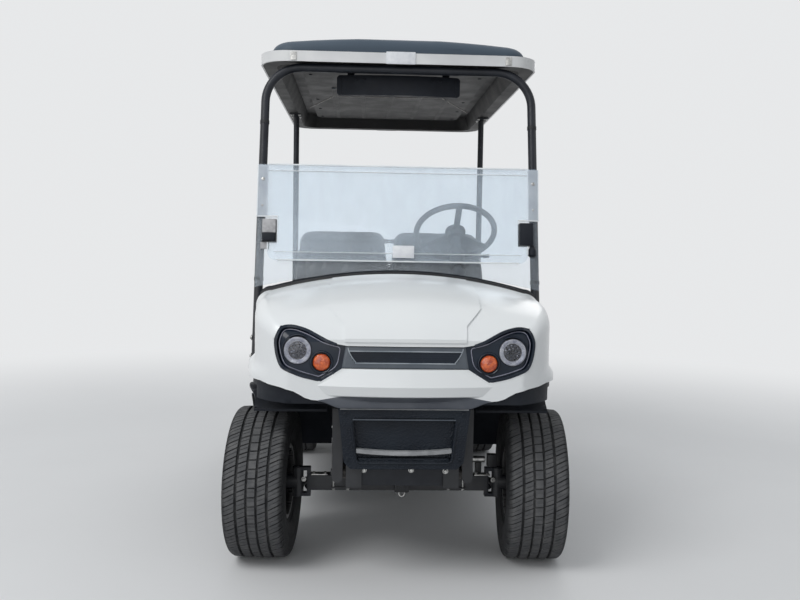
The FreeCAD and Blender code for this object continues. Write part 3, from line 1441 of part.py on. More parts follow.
def roof_outline(inset, z):
    """Rounded rectangle of the roof, seen from above."""
    half = float(d.roof_half_width) - inset
    front = float(front_axle_y) + float(d.roof_front_y) + inset
    rear = front + float(d.roof_length) - 2 * inset
    r = float(d.roof_corner) - inset * 0.6
    k = r * (1 - math.sqrt(0.5))
    corners = ((half, front, 1, 1), (half, rear, 1, -1), (-half, rear, -1, -1), (-half, front, -1, 1))
    edges = []
    ends = []
    for x, y, sx, sy in corners:
        a, b = v(x - sx * r, y, z), v(x, y + sy * r, z)
        middle = v(x - sx * k, y + sy * k, z)
        first, last = (a, b) if sx * sy > 0 else (b, a)
        ends.append((first, last))
        edges.append(Part.Arc(first, middle, last).toShape())
    for i in range(4):
        edges.append(Part.LineSegment(ends[i][1], ends[(i + 1) % 4][0]).toShape())
    return Part.Wire(Part.__sortEdges__(edges))


def roof_block(inset, low, high):
    return Part.Face(roof_outline(inset, float(low))).extrude(v(0, 0, float(high) - float(low)))


def make_roof():
    """Black roof moulding: rim, crowned cap set in from it, hollow underside with a ceiling panel."""
    trim = float(d.trim_thickness) + 0.3
    low, high = float(d.roof_bottom_z), float(d.roof_top_z)
    ledge_z = low + float(d.trim_height) + 3
    rim_part = roof_block(trim, low, ledge_z)
    cap = roof_block(float(d.roof_ledge), ledge_z - 10, high)
    half, rise = float(d.roof_half_width) - float(d.roof_ledge), float(d.roof_crown)
    radius = (half * half + rise * rise) / (2 * rise)
    front = float(front_axle_y) + float(d.roof_front_y)
    middle = v(0, front - 100, high + 0.1 * rise - radius)
    cap = cap.common(Part.makeCylinder(radius, float(d.roof_length) + 200, middle, Y_AXIS))
    upper = [
        e for e in cap.Edges
        if e.BoundBox.ZMin > high - rise - 1 and (e.BoundBox.YLength < 1 or abs(e.CenterOfMass.x) > half * 0.7)
    ]
    cap = cap.makeFillet(float(d.roof_shoulder), upper)
    slab = rim_part.fuse(cap)
    rim, deep = float(d.roof_rim), low + float(d.roof_recess)
    under = Part.makeLoft([roof_outline(rim, low - 1), roof_outline(rim + 30, deep)], True, True)
    side = float(d.roof_half_width) - float(d.roof_panel)
    start = front + float(d.panel_front)
    length = float(d.roof_length) - float(d.panel_front) - float(d.roof_panel)
    drop = float(d.panel_drop)
    panel = block(2 * side, length, drop, 0, start + length / 2, deep - drop / 2)
    sides = [e for e in panel.Edges if abs(e.tangentAt(e.FirstParameter).z) > 0.99]
    return shaped("roof", slab.cut(under.cut(panel.makeFillet(60, sides))))


def make_trim():
    """Light trim all round the roof's edge."""
    low = float(d.roof_bottom_z)
    high = low + float(d.trim_height)
    return shaped("roof_trim", roof_block(0, low, high).cut(roof_block(float(d.trim_thickness), low - 1, high + 1)))


def make_rear_posts():
    """Rear roof posts with their feet on the rear body and flanges under the roof's rim."""
    y = float(rear_axle_y) + float(d.rear_post_y)
    foot = float(d.seat_base_z) + 0.3
    top = float(d.roof_bottom_z) - 0.3
    x = float(rear_post_x)
    r = float(d.post_radius)
    shaft = Part.makeCylinder(r, top - foot, v(x, y, foot))
    base = block(64, 90, 8, x, y, foot + 4)
    head = block(60, 100, 8, x + 4, y, top - 4)
    return shaped("rear_posts", both_sides(joined([shaft, base, head])))


def make_mirror():
    """Wide mirror under the roof's front, on two brackets to the hoop's cross tube."""
    half, height, t = float(d.mirror_half), float(d.mirror_height), float(d.mirror_thickness)
    y, z = float(front_axle_y) + float(d.mirror_y), float(d.mirror_z)
    bow = 26
    outer = Part.Wire([
        Part.Arc(v(-half, y, z), v(0, y - bow, z), v(half, y, z)).toShape(),
        Part.LineSegment(v(half, y, z), v(half, y + t, z)).toShape(),
        Part.Arc(v(half, y + t, z), v(0, y + t - bow, z), v(-half, y + t, z)).toShape(),
        Part.LineSegment(v(-half, y + t, z), v(-half, y, z)).toShape(),
    ])
    plate = Part.Face(outer).extrude(v(0, 0, height))
    plate.translate(v(0, 0, -height / 2))
    ends = [e for e in plate.Edges if abs(e.tangentAt(e.FirstParameter).z) < 0.01 and e.Length < t + 1]
    plate = plate.makeFillet(14, ends)
    roof_z = float(d.roof_bottom_z) + float(d.roof_recess)
    shapes = [plate]
    for side in (1, -1):
        x = side * (half - 60)
        stem = block(30, 12, roof_z - 0.3 - z, x, y + t / 2, (roof_z - 0.3 + z) / 2)
        foot = block(46, 40, 5, x, y + t / 2, roof_z - 0.3 - 2.5)
        shapes += [stem, foot]
    return shaped("mirror", joined(shapes))


# Controls and lamps

COLUMN_WAY = v(0, math.cos(math.radians(float(d.column_tilt))), math.sin(math.radians(float(d.column_tilt))))


def wheel_centre():
    return v(wheel_x, front_axle_y + d.wheel_y, d.wheel_z)


def make_column():
    """Steering column from the toe board through the dash to the steering wheel."""
    top = wheel_centre() - COLUMN_WAY * 34
    dash_y = float(dash_front_y) + float(d.dash_depth) + 0.3
    run = (top.y - dash_y) / COLUMN_WAY.y
    foot = top - COLUMN_WAY * run
    flange = Part.makeBox(90, 8, 90, v(foot.x - 45, dash_y, foot.z - 45))
    shapes = [bar(foot - COLUMN_WAY * 0, top, d.column_radius), flange,
              bar(foot, foot + (top - foot) * 0.45, float(d.column_radius) + 12)]
    space = Part.makeBox(400, 400, 600, v(foot.x - 200, dash_y - 400, foot.z - 300))
    return shaped("steering_column", joined(shapes).cut(space))


def make_steering_wheel():
    """Steering wheel: rim, three flat spokes and a hub."""
    r, rim = float(d.wheel_radius), float(d.wheel_rim)
    centre = wheel_centre()
    rim_shape = Part.makeTorus(r, rim, v(0, 0, 0), Z_AXIS)
    hub = Part.makeCylinder(38, 30, v(0, 0, -33.7))
    shapes = [rim_shape, hub]
    for turn in (0, 120, 240):
        spoke = Part.makeBox(r, 26, 6, v(0, -13, -12))
        tilt = Rotation(Z_AXIS, turn - 30 + 60)
        spoke.Placement = Placement(v(0, 0, 0), tilt)
        shapes.append(spoke)
    shape = joined(shapes)
    item = shaped("steering_wheel", shape)
    item.Placement = Placement(centre, Rotation(Z_AXIS, COLUMN_WAY))
    return item


def make_pedals():
    """Brake and accelerator pedals on the toe board."""
    foot_y = float(toe_foot_y)
    slope = v(0, -float(d.toe_run), float(d.toe_top_z) - float(d.floor_z)).normalize()
    normal = v(0, slope.z, -slope.y)
    shapes = []
    for x, width, height in ((wheel_x - 75, 96, 96), (wheel_x + 75, 60, 150)):
        at = v(float(x), foot_y, d.floor_z) + slope * 190
        pad = Part.makeBox(width, height, 10, v(-width / 2, -height / 2, 46))
        arm = Part.makeBox(18, 14, 46, v(-9, -7, 0.3))
        lever = joined([pad, arm])
        lever.Placement = Placement(at, Rotation(-X_AXIS, slope, normal, "YZX"))
        shapes.append(lever)
    return shaped("pedals", Part.Compound(shapes))


def make_tail_lamps():
    """A round tail lamp on each rear corner of the body."""
    r = float(d.tail_lamp_radius)
    start = v(float(d.body_half_width) - r - 14, float(body_tail_y) + 0.3, float(d.seat_base_z) - 80)
    return shaped("tail_lamps", both_sides(Part.makeCylinder(r, 16, start, Y_AXIS)))


PIECES = [
    make_frame(), make_front_axle(), make_springs(), make_shocks(), make_rear_axle(), make_motor(),
    make_battery(), make_cowl(), make_lamp_band(),
    make_lamps("headlamps", d.lamp_x, d.lamp_z, d.lamp_radius, 7),
    make_lamps("turn_lamps", d.turn_x, d.turn_z, d.turn_radius, 6),
    make_front_bumper(), make_liners(), make_dash(), make_floor(), make_sills(), make_rear_body(),
    make_front_cushion(), make_front_board(), make_backs("front_seat_backs", back_front_y, d.back_lean),
    make_backs("rear_seat_backs", rear_back_y, -d.back_lean), make_rear_cushion(), make_rear_deck(),
    make_hinges(), make_seat_frame(), make_footplate(), make_hoop(), make_lower_pane(), make_folded_pane(), make_roof(),
    make_trim(), make_rear_posts(), make_mirror(), make_column(), make_steering_wheel(), make_pedals(),
    make_tail_lamps(), make_knuckle("knuckle_left", 1), make_knuckle("knuckle_right", -1), make_tie_rod(),
] + list(make_wheels())

doc.recompute()
for item in doc.Objects:
    if any(state in ("Invalid", "Error") for state in item.State):
        raise RuntimeError(f"{item.Label} failed: {item.State}")
os.makedirs("parts", exist_ok=True)
for item in PIECES:
    shape = item.Shape
    if shape.isNull() or not shape.isValid() or not shape.Solids:
        raise RuntimeError(f"{item.Label} has no valid solid")
    shape.exportStep(f"parts/{item.Label}.step")
    bounds = shape.optimalBoundingBox(False)
    print(f"{item.Label}: {len(shape.Solids)} solids, {len(shape.Faces)} faces, "
          f"{shape.Volume / 1e9:.5f} m3, x {bounds.XMin:.0f}..{bounds.XMax:.0f}, "
          f"y {bounds.YMin:.0f}..{bounds.YMax:.0f}, z {bounds.ZMin:.0f}..{bounds.ZMax:.0f}")
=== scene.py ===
import json
import math

import bmesh
import bpy
from mathutils import Matrix, Vector
from mathutils.bvhtree import BVHTree


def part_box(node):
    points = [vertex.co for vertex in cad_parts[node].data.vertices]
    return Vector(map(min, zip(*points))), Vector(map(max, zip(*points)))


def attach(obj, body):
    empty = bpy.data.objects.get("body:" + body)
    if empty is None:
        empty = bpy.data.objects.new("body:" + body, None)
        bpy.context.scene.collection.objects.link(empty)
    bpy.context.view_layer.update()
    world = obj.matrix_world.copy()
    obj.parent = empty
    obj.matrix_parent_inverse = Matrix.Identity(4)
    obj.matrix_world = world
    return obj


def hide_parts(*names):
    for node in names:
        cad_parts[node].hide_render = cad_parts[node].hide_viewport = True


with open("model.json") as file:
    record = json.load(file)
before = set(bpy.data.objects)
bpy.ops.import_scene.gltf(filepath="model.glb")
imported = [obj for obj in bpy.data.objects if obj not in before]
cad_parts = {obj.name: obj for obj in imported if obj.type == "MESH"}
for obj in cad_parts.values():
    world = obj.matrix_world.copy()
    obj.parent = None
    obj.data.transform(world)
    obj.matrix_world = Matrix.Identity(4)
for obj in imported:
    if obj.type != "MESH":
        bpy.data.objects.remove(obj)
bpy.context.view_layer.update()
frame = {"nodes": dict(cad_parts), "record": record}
nodes = frame["nodes"]
TAU = 2 * math.pi
SIDES = (1, -1)
OUTSIDE = 2.5
NOSE_Y = -1.3
SHARP = 40

# Camera: in front of the nose, a little to one side, looking slightly down

CAMERA_AT = Vector((-0.148, -4.076, 1.144))
CAMERA_LENS = 37.8
CAMERA_PITCH, CAMERA_YAW, CAMERA_ROLL = math.radians(3.37), math.radians(2.655), math.radians(0.94)

# Ways to lay a part that is turned about its own X axis

FORWARD = Matrix.Rotation(-math.pi / 2, 4, "Z")
BACKWARD = Matrix.Rotation(math.pi / 2, 4, "Z")
UPWARD = Matrix.Rotation(-math.pi / 2, 4, "Y")
DOWNWARD = Matrix.Rotation(math.pi / 2, 4, "Y")
OUTWARD = {1: Matrix.Rotation(0, 4, "Z"), -1: Matrix.Rotation(math.pi, 4, "Z")}
VIEW_UP = (0, -1, 0)


def new_object(name, data):
    item = bpy.data.objects.new(name, data)
    bpy.context.scene.collection.objects.link(item)
    return item


def add_camera():
    data = bpy.data.cameras.new("camera")
    data.lens, data.sensor_width, data.clip_end = CAMERA_LENS, 36, 200
    camera = new_object("camera", data)
    turn = Matrix.Rotation(-CAMERA_YAW, 4, "Z") @ Matrix.Rotation(math.pi / 2 - CAMERA_PITCH, 4, "X")
    camera.matrix_world = Matrix.Translation(CAMERA_AT) @ turn @ Matrix.Rotation(CAMERA_ROLL, 4, "Z")
    bpy.context.scene.camera = camera


# Mesh kit

def spot(x, y, z, turn=Matrix()):
    """Where a part goes: its middle and the way that it is laid."""
    return Matrix.Translation((x, y, z)) @ turn


def circle(radius, steps, shift=0.0):
    """Even points round a circle, the first one shifted by a share of a step."""
    angles = [TAU * (i + shift) / steps for i in range(steps)]
    return [(radius * math.cos(a), radius * math.sin(a)) for a in angles]


def bar(foot, low, head, high):
    """Section of a straight bar: half its width and its height, at the foot and at the head."""
    return [(-foot, low), (foot, low), (head, high), (-head, high)]


class Form:
    """Vertices and faces of one piece, gathered from swept, turned and extruded parts."""

    def __init__(self):
        self.points, self.faces, self.marks = [], [], []

    def add(self, points, faces, mark=0, at=None):
        start = len(self.points)
        self.points += [at @ Vector(p) if at else Vector(p) for p in points]
        self.faces += [tuple(start + i for i in face) for face in faces]
        self.marks += [mark] * len(faces)
        return self

    def grid(self, rows, around=False, across=False, mark=0, at=None, flip=False):
        """Quads over equal rows of points. around joins the last row to the first."""
        count, wide = len(rows), len(rows[0])
        faces = []
        for i in range(count if around else count - 1):
            for j in range(wide if across else wide - 1):
                a, b = i * wide + j, i * wide + (j + 1) % wide
                c, e = (i + 1) % count * wide + (j + 1) % wide, (i + 1) % count * wide + j
                faces.append((a, e, c, b) if flip else (a, b, c, e))
        return self.add([p for row in rows for p in row], faces, mark, at)

    def ends(self, rows, mark=0, flip=False):
        """Faces over the first and the last row, where each row is a closed ring."""
        ring = tuple(range(len(rows[0])))
        self.add(rows[0], [ring[::-1] if flip else ring], mark)
        return self.add(rows[-1], [ring if flip else ring[::-1]], mark)

    def lathe(self, profile, steps=48, mark=0, at=None, flip=False):
        """Profile of (along, radius) turned about X, the way its normals face set by flip."""
        rows = [[(x, r * c, r * s) for x, r in profile] for c, s in circle(1, steps)]
        return self.grid(rows, around=True, mark=mark, at=at, flip=flip)

    def block(self, size, at, edge=0.002, turn=Matrix(), mark=0):
        """Box with chamfered edges, by its size and its middle."""
        item = bmesh.new()
        bmesh.ops.create_cube(item, size=1, matrix=Matrix.Diagonal((*size, 1)))
        if edge:
            bmesh.ops.bevel(item, geom=item.edges[:], offset=min(edge, min(size) * 0.4), segments=2, profile=0.6,
                            affect="EDGES")
        return self.take(item, Matrix.Translation(at) @ turn, mark)

    def take(self, item, at=None, mark=0):
        item.verts.index_update()
        self.add([v.co.copy() for v in item.verts], [[v.index for v in f.verts] for f in item.faces], mark, at)
        item.free()
        return self

    def sweep(self, path, section, closed=False, up=VIEW_UP, mark=0):
        """Section of (side, height) carried along a path, height kept towards up."""
        path = [Vector(p) for p in path]
        up = Vector(up)
        rows = []
        count = len(path)
        for i, p in enumerate(path):
            before = path[i - 1] if closed or i else p
            after = path[(i + 1) % count] if closed or i < count - 1 else p
            way = (after - before).normalized()
            side = way.cross(up).normalized()
            high = side.cross(way).normalized()
            rows.append([p + side * a + high * b for a, b in section])
        self.grid(rows, around=closed, across=True, mark=mark)
        return self if closed else self.ends(rows, mark)

    def tube(self, path, radius, steps=12, closed=False, up=(0, 0, 1), mark=0):
        return self.sweep(path, circle(radius, steps), closed, up, mark)

    def mirror(self):
        """Adds the mirror image across the centre plane."""
        start = len(self.points)
        self.points += [Vector((-p.x, p.y, p.z)) for p in self.points]
        self.faces += [tuple(start + i for i in reversed(face)) for face in self.faces]
        self.marks += self.marks
        return self

    def finish(self, name, names, body="chassis", replaced=(), smooth=SHARP, slot=None, at=None):
        mesh = bpy.data.meshes.new(name)
        mesh.from_pydata([tuple(p) for p in self.points], [], self.faces)
        for face, mark in zip(mesh.polygons, self.marks):
            face.material_index = mark
        for key in names.split():
            mesh.materials.append(looks[key])
        first = names.split()[0]
        return place(name, mesh, body, replaced, smooth, at)


def place(name, mesh, body, replaced, smooth, at=None):
    """Makes an object of a mesh, shades it, and lets it ride on a body."""
    if smooth:
        mesh.shade_smooth()
        mesh.set_sharp_from_angle(angle=math.radians(smooth))
    item = new_object(name, mesh)
    if at is not None:
        item.matrix_world = at
    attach(item, body)
    if replaced:
        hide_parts(*replaced)
    return item


def tree_of(*names):
    """Search tree over the CAD nodes named, in the frame's metres."""
    points, faces = [], []
    for name in names:
        item = nodes[name]
        start = len(points)
        points += [item.matrix_world @ v.co for v in item.data.vertices]
        faces += [tuple(start + i for i in p.vertices) for p in item.data.polygons]
    return BVHTree.FromPolygons(points, faces)


def cast(tree, start, way):
    """Where a ray meets a surface, and the surface's way there. Both are None where it misses."""
    return tree.ray_cast(Vector(start), Vector(way))[:2]


def front_at(tree, x, z):
    """How far forward a surface lies at a point of the front view."""
    hit = cast(tree, (x, -OUTSIDE, z), (0, 1, 0))[0]
    return hit.y if hit else NOSE_Y


def top_at(tree, x, y):
    return cast(tree, (x, y, OUTSIDE), (0, 0, -1))[0].z


def evenly(low, high, count):
    """Numbers from low to high in count equal steps."""
    return [low + (high - low) * k / count for k in range(count + 1)]


def spread_out(points, step, closed=True):
    """Points at even steps along a polyline."""
    points = [Vector(p) for p in points]
    if closed:
        points.append(points[0])
    out = []
    for a, b in zip(points, points[1:]):
        n = max(1, round((b - a).length / step))
        out += [a.lerp(b, i / n) for i in range(n)]
    return out if closed else out + [points[-1]]


def rounded(outline, radius, steps=5):
    """A 2D outline with each corner rounded."""
    out = []
    count = len(outline)
    for i, corner in enumerate(outline):
        c = Vector(corner).to_2d()
        a = Vector(outline[i - 1]).to_2d() - c
        b = Vector(outline[(i + 1) % count]).to_2d() - c
        reach = min(radius, a.length * 0.45, b.length * 0.45)
        p, q = c + a.normalized() * reach, c + b.normalized() * reach
        for k in range(steps + 1):
            t = k / steps
            out.append(tuple((1 - t) ** 2 * p + 2 * t * (1 - t) * c + t * t * q))
    return out


def lay(tree, outline, step=0.008, closed=True):
    """Front-view points (x, z) in metres, spread evenly and laid on a surface."""
    path, known = [], None
    for p in spread_out([(x, 0, z) for x, z in outline], step, closed):
        hit = cast(tree, (p.x, -OUTSIDE, p.z), (0, 1, 0))[0]
        known = hit.y if hit else known
        path.append((p.x, known, p.z))
    return path


# Materials

class Look:
    """A node material: one Principled shader with its own small kit of texture nodes."""

    def __init__(self, name, tone, **sockets):
        self.material = bpy.data.materials.new(name)
        self.material.use_nodes = True
        self.tree = self.material.node_tree
        self.shader = self.tree.nodes["Principled BSDF"]
        for socket, value in {"Base Color": (*tone, 1), **sockets}.items():
            self.shader.inputs[socket.replace("_", " ")].default_value = value
        self.place = self.node("ShaderNodeTexCoord").outputs["Object"]
        self.height = None

    def node(self, kind, options=None, **inputs):
        item = self.tree.nodes.new(kind)
        for key, value in (options or {}).items():
            setattr(item, key, value)
        for key, value in inputs.items():
            self.feed(item.inputs[key.replace("_", " ")], value)
        return item

    def feed(self, socket, value):
        if isinstance(value, bpy.types.NodeSocket):
            self.tree.links.new(value, socket)
        else:
            socket.default_value = value

    def noise(self, scale, detail=3, stretch=(1, 1, 1), roughness=0.55):
        where = self.node("ShaderNodeMapping", Vector=self.place, Scale=stretch).outputs[0]
        return self.node("ShaderNodeTexNoise", Vector=where, Scale=scale, Detail=detail,
                         Roughness=roughness).outputs["Fac"]

    def cells(self, scale, feature="F1"):
        return self.node("ShaderNodeTexVoronoi", {"feature": feature}, Vector=self.place,
                         Scale=scale).outputs["Distance"]

    def waves(self, scale, kind="BANDS"):
        options = {"wave_type": kind, "bands_direction": "X", "rings_direction": "X"}
        return self.node("ShaderNodeTexWave", options, Vector=self.place, Scale=scale).outputs["Fac"]

    def ribs(self, scale):
        return self.spread(self.waves(scale), 0.35, 0.65)

    def split(self, vector):
        return self.node("ShaderNodeSeparateXYZ", Vector=vector).outputs

    def facing_up(self):
        return self.split(self.node("ShaderNodeNewGeometry").outputs["Normal"])["Z"]

    def radius(self):
        """Distance from the object's own X axis."""
        parts = self.split(self.place)
        y, z = self.math("MULTIPLY", parts["Y"], parts["Y"]), self.math("MULTIPLY", parts["Z"], parts["Z"])
        return self.math("SQRT", self.math("ADD", y, z))

    def spread(self, value, low, high, to_low=0.0, to_high=1.0):
        return self.node("ShaderNodeMapRange", Value=value, From_Min=low, From_Max=high, To_Min=to_low,
                         To_Max=to_high).outputs[0]

    def math(self, operation, a, b=0.0):
        item = self.node("ShaderNodeMath", {"operation": operation})
        self.feed(item.inputs[0], a)
        self.feed(item.inputs[1], b)
        return item.outputs[0]

    def mix(self, factor, a, b):
        item = self.node("ShaderNodeMix", {"data_type": "RGBA"})
        self.feed(item.inputs["Factor"], factor)
        for socket, colour in zip([s for s in item.inputs if s.type == "RGBA"], (a, b)):
            self.feed(socket, (*colour, 1) if isinstance(colour, tuple) else colour)
        return [s for s in item.outputs if s.type == "RGBA"][0]

    def blend(self, factor, tone):
        """Mixes a tone over the base colour so far."""
        self.base = self.mix(factor, self.base, tone)
        self.feed(self.shader.inputs["Base Color"], self.base)
        return self

    def patchy(self, first, second, scale, low=0.35, high=0.65):
        """Base colour that wanders between two tones."""
        self.base = first
        return self.blend(self.spread(self.noise(scale), low, high), second)

    def dusty(self, tone, amount, scale=9):
        """Paler tone on faces that look up, in patches: dust on most looks, and a painted sky sheen on the roof."""
        lies = self.math("MULTIPLY", self.spread(self.facing_up(), 0.2, 0.95),
                         self.spread(self.noise(scale, 5), 0.3, 0.75))
        return self.blend(self.math("MULTIPLY", lies, amount), tone)

    def worn(self, tone, amount=0.5, reach=0.06):
        """Paler edges, where the surface turns outwards sharply."""
        edge = self.spread(self.node("ShaderNodeNewGeometry").outputs["Pointiness"], 0.5 + reach * 0.4, 0.5 + reach)
        return self.blend(self.math("MULTIPLY", edge, amount), tone)

    def uneven(self, low, high, scale):
        """Roughness that wanders between two values."""
        self.feed(self.shader.inputs["Roughness"], self.spread(self.noise(scale, 4), 0.3, 0.7, low, high))
        return self

    def bump(self, value, distance, strength):
        inputs = {"Height": value, "Distance": distance, "Strength": strength}
        if self.height is not None:
            inputs["Normal"] = self.height
        self.height = self.node("ShaderNodeBump", **inputs).outputs[0]
        self.feed(self.shader.inputs["Normal"], self.height)
        return self


# Two tones and the size of their patches, roughness (one value, or low, high and scale), surface relief as
# (kind, scale, distance, strength, kind's own option), then sockets, wear and dust
LOOKS = {
    "white_gloss": ((0.77, 0.795, 0.805), (0.80, 0.825, 0.83), 2.5, (0.29, 0.33, 5), [("noise", 260, 0.0002, 0.35, 2)],
                    dict(Coat_Weight=0.3, Coat_Roughness=0.16)),
    # Dark slate of painted shade for the underside of the white cowl's nose
    "nose_shade_slate": ((0.048, 0.056, 0.072), (0.08, 0.09, 0.108), 9, (0.36, 0.5, 24), [("noise", 500, 0.0002, 0.5, 2)]),
    "black_steel": ((0.009, 0.011, 0.016), (0.018, 0.021, 0.028), 14, (0.32, 0.5, 30), [("noise", 700, 0.0002, 0.5, 2)],
                    dict(Specular_IOR_Level=0.32, worn=((0.07, 0.07, 0.07), 0.4))),
    "spring_steel": ((0.035, 0.034, 0.034), (0.09, 0.085, 0.08), 22, (0.4, 0.65, 40), [("noise", 300, 0.0004, 0.6, 4)],
                     dict(Metallic=0.6)),
    "cast_grey": ((0.07, 0.07, 0.073), (0.15, 0.15, 0.155), 16, (0.5, 0.75, 30), [("noise", 240, 0.0009, 0.7, 5)],
                  dict(Metallic=0.5)),
    "black_plastic": ((0.007, 0.009, 0.014), (0.014, 0.017, 0.023), 8, (0.42, 0.6, 14),
                      [("cells", 900, 0.00025, 0.55)], dict(Specular_IOR_Level=0.18, dusty=((0.1, 0.1, 0.1), 0.25))),
    "bumper_plastic": ((0.006, 0.009, 0.015), (0.012, 0.017, 0.025), 10, (0.36, 0.5, 20),
                       [("cells", 170, 0.002, 0.8), ("cells", 900, 0.00025, 0.5)],
                       dict(Specular_IOR_Level=0.2, dusty=((0.1, 0.105, 0.11), 0.3))),
    "slate_gloss": ((0.006, 0.011, 0.021), (0.014, 0.022, 0.036), 7, (0.16, 0.28, 20),
                    [("noise", 420, 0.00015, 0.4, 2)],
                    dict(Specular_IOR_Level=0.2, Coat_Weight=0.14, Coat_Roughness=0.05)),
    "grille_slate": ((0.05, 0.064, 0.083), (0.08, 0.097, 0.118), 9, (0.28, 0.42, 20),
                     [("noise", 500, 0.00015, 0.4, 2)], dict(Coat_Weight=0.25)),
    "bright_line": ((0.22, 0.26, 0.3), (0.42, 0.46, 0.5), 12, 0.28, [("noise", 300, 0.0001, 0.3)],
                    dict(Metallic=0.3, Coat_Weight=0.4)),
    # Pale lilac painted highlight for the raised step inside the lamp pods
    "rim_line": ((0.1, 0.11, 0.16), (0.3, 0.3, 0.38), 14, 0.3, [("noise", 300, 0.0001, 0.3)], dict(Coat_Weight=0.4)),
    # Pale grey painted highlight for the sunlit ledge and the top edge of the black bumper
    "ledge_slate": ((0.22, 0.23, 0.24), (0.36, 0.37, 0.38), 16, 0.5, [("noise", 300, 0.0004, 0.5)]),
    "clip_grey": ((0.26, 0.26, 0.27), (0.44, 0.44, 0.45), 40, 0.45, [("noise", 400, 0.0003, 0.4)]),
    "ceiling_line": ((0.24, 0.22, 0.2), (0.38, 0.36, 0.34), 10, 0.5, [("noise", 300, 0.0003, 0.4)]),
    "lamp_ring": ((0.19, 0.20, 0.25), (0.36, 0.37, 0.40), 60, (0.22, 0.36, 40), [("noise", 200, 0.0002, 0.3)],
                  dict(Metallic=0.2)),
    "lamp_bowl": ((0.22, 0.23, 0.26), (0.4, 0.41, 0.44), 30, 0.15, [("waves", 90, 0.001, 0.5)], dict(Metallic=1.0)),
    "projector": ((0.012, 0.014, 0.02), (0.04, 0.045, 0.06), 18, 0.06, [("noise", 40, 0.0004, 0.3)],
                  dict(Coat_Weight=1.0)),
    "lamp_lens": ((0.9, 0.92, 0.97), None, 0, (0.02, 0.06, 30), [("noise", 60, 0.0002, 0.3, 1)],
                  dict(IOR=1.0, Transmission_Weight=0.96, Alpha=0.5, Coat_Weight=0.6)),
    "amber_lens": ((0.36, 0.035, 0.006), (0.78, 0.15, 0.025), 70, 0.14, [("cells", 120, 0.0015, 0.7)],
                   dict(IOR=1.49, Transmission_Weight=0.1, Coat_Weight=0.6, Emission_Color=(1, 0.16, 0.02, 1),
                        Emission_Strength=0.05)),
    "red_lens": ((0.4, 0.01, 0.01), (0.6, 0.03, 0.02), 60, 0.12, [("cells", 150, 0.0015, 0.8)],
                 dict(IOR=1.49, Transmission_Weight=0.3, Coat_Weight=0.6)),
    "floor_mat": ((0.024, 0.025, 0.026), (0.05, 0.05, 0.05), 6, 0.75,
                  [("ribs", 26, 0.0016, 0.9), ("noise", 600, 0.0003, 0.5)], dict(dusty=((0.16, 0.15, 0.13), 0.5))),
    "seat_vinyl": ((0.018, 0.02, 0.024), (0.031, 0.033, 0.038), 5, (0.34, 0.5, 18),
                   [("cells", 480, 0.0005, 0.5, "DISTANCE_TO_EDGE"), ("noise", 30, 0.0015, 0.3)],
                   dict(Sheen_Weight=0.12, Specular_IOR_Level=0.4, worn=((0.1, 0.1, 0.1), 0.35))),
    "piping": ((0.04, 0.042, 0.047), (0.07, 0.072, 0.078), 20, 0.4, [("cells", 600, 0.0003, 0.4)]),
    "stitching": ((0.14, 0.14, 0.145), (0.27, 0.27, 0.27), 60, 0.7, [("noise", 900, 0.0003, 0.8)]),
    "deck_plate": ((0.045, 0.047, 0.05), (0.08, 0.08, 0.085), 5, (0.5, 0.7, 20),
                   [("cells", 55, 0.002, 0.6), ("noise", 500, 0.0003, 0.5)], dict(dusty=((0.2, 0.19, 0.17), 0.4))),
    "clear_pane": ((0.80, 0.88, 0.95), None, 0, 0.04, [("noise", 3, 0.001, 0.15, 2)],
                   dict(IOR=1.0, Alpha=0.5, Coat_Weight=0.5, Coat_Roughness=0.03, Coat_IOR=1.45)),
    # Pale grey painted highlight for the edges of the clear panes
    "pane_edge_highlight": ((0.72, 0.76, 0.79), (0.86, 0.89, 0.9), 10, 0.3, [("noise", 200, 0.0002, 0.3)]),
    "pane_frost": ((0.52, 0.58, 0.66), (0.68, 0.74, 0.8), 8, 0.3, [("noise", 60, 0.0003, 0.3)],
                   dict(Alpha=0.55, Coat_Weight=0.3)),
    "blank_label": ((0.68, 0.7, 0.74), (0.8, 0.82, 0.84), 30, 0.4, [("noise", 220, 0.0002, 0.3)],
                    dict(Coat_Weight=0.2)),
    "roof_black": ((0.012, 0.0115, 0.012), (0.019, 0.018, 0.018), 4, (0.46, 0.6, 9), [("noise", 500, 0.0004, 0.5)],
                   dict(Specular_IOR_Level=0.3)),
    "silver_trim": ((0.6, 0.61, 0.62), (0.72, 0.73, 0.73), 5, (0.25, 0.4, 12), [("noise", 200, 0.0003, 0.3, 2)],
                    dict(Coat_Weight=0.2)),
    "zinc": ((0.3, 0.3, 0.3), (0.55, 0.55, 0.53), 80, (0.25, 0.5, 90), [("noise", 400, 0.0002, 0.5)],
             dict(Metallic=0.9)),
    "wheel_grip": ((0.010, 0.011, 0.013), (0.018, 0.019, 0.021), 15, 0.55, [("cells", 700, 0.0003, 0.6)],
                   dict(Specular_IOR_Level=0.35)),
    "tyre_rubber": ((0.014, 0.015, 0.017), (0.028, 0.029, 0.031), 12, (0.68, 0.88, 24),
                    [("noise", 320, 0.0005, 0.5, 4)], dict(Specular_IOR_Level=0.35)),
    "alloy_black": ((0.024, 0.025, 0.028), (0.042, 0.043, 0.047), 10, (0.24, 0.38, 25),
                    [("noise", 300, 0.0002, 0.4)],
                    dict(Metallic=0.4, Coat_Weight=0.4, worn=((0.5, 0.5, 0.5), 0.7, 0.1))),
    "alloy_bright": ((0.42, 0.42, 0.43), (0.58, 0.58, 0.58), 14, 0.25, [("waves", 220, 0.0001, 0.4, "RINGS")],
                     dict(Metallic=0.95)),
    "mirror_glass": ((0.7, 0.73, 0.76), (0.8, 0.82, 0.83), 3, 0.04, [("noise", 4, 0.0002, 0.2, 1)],
                     dict(Metallic=1.0)),
}


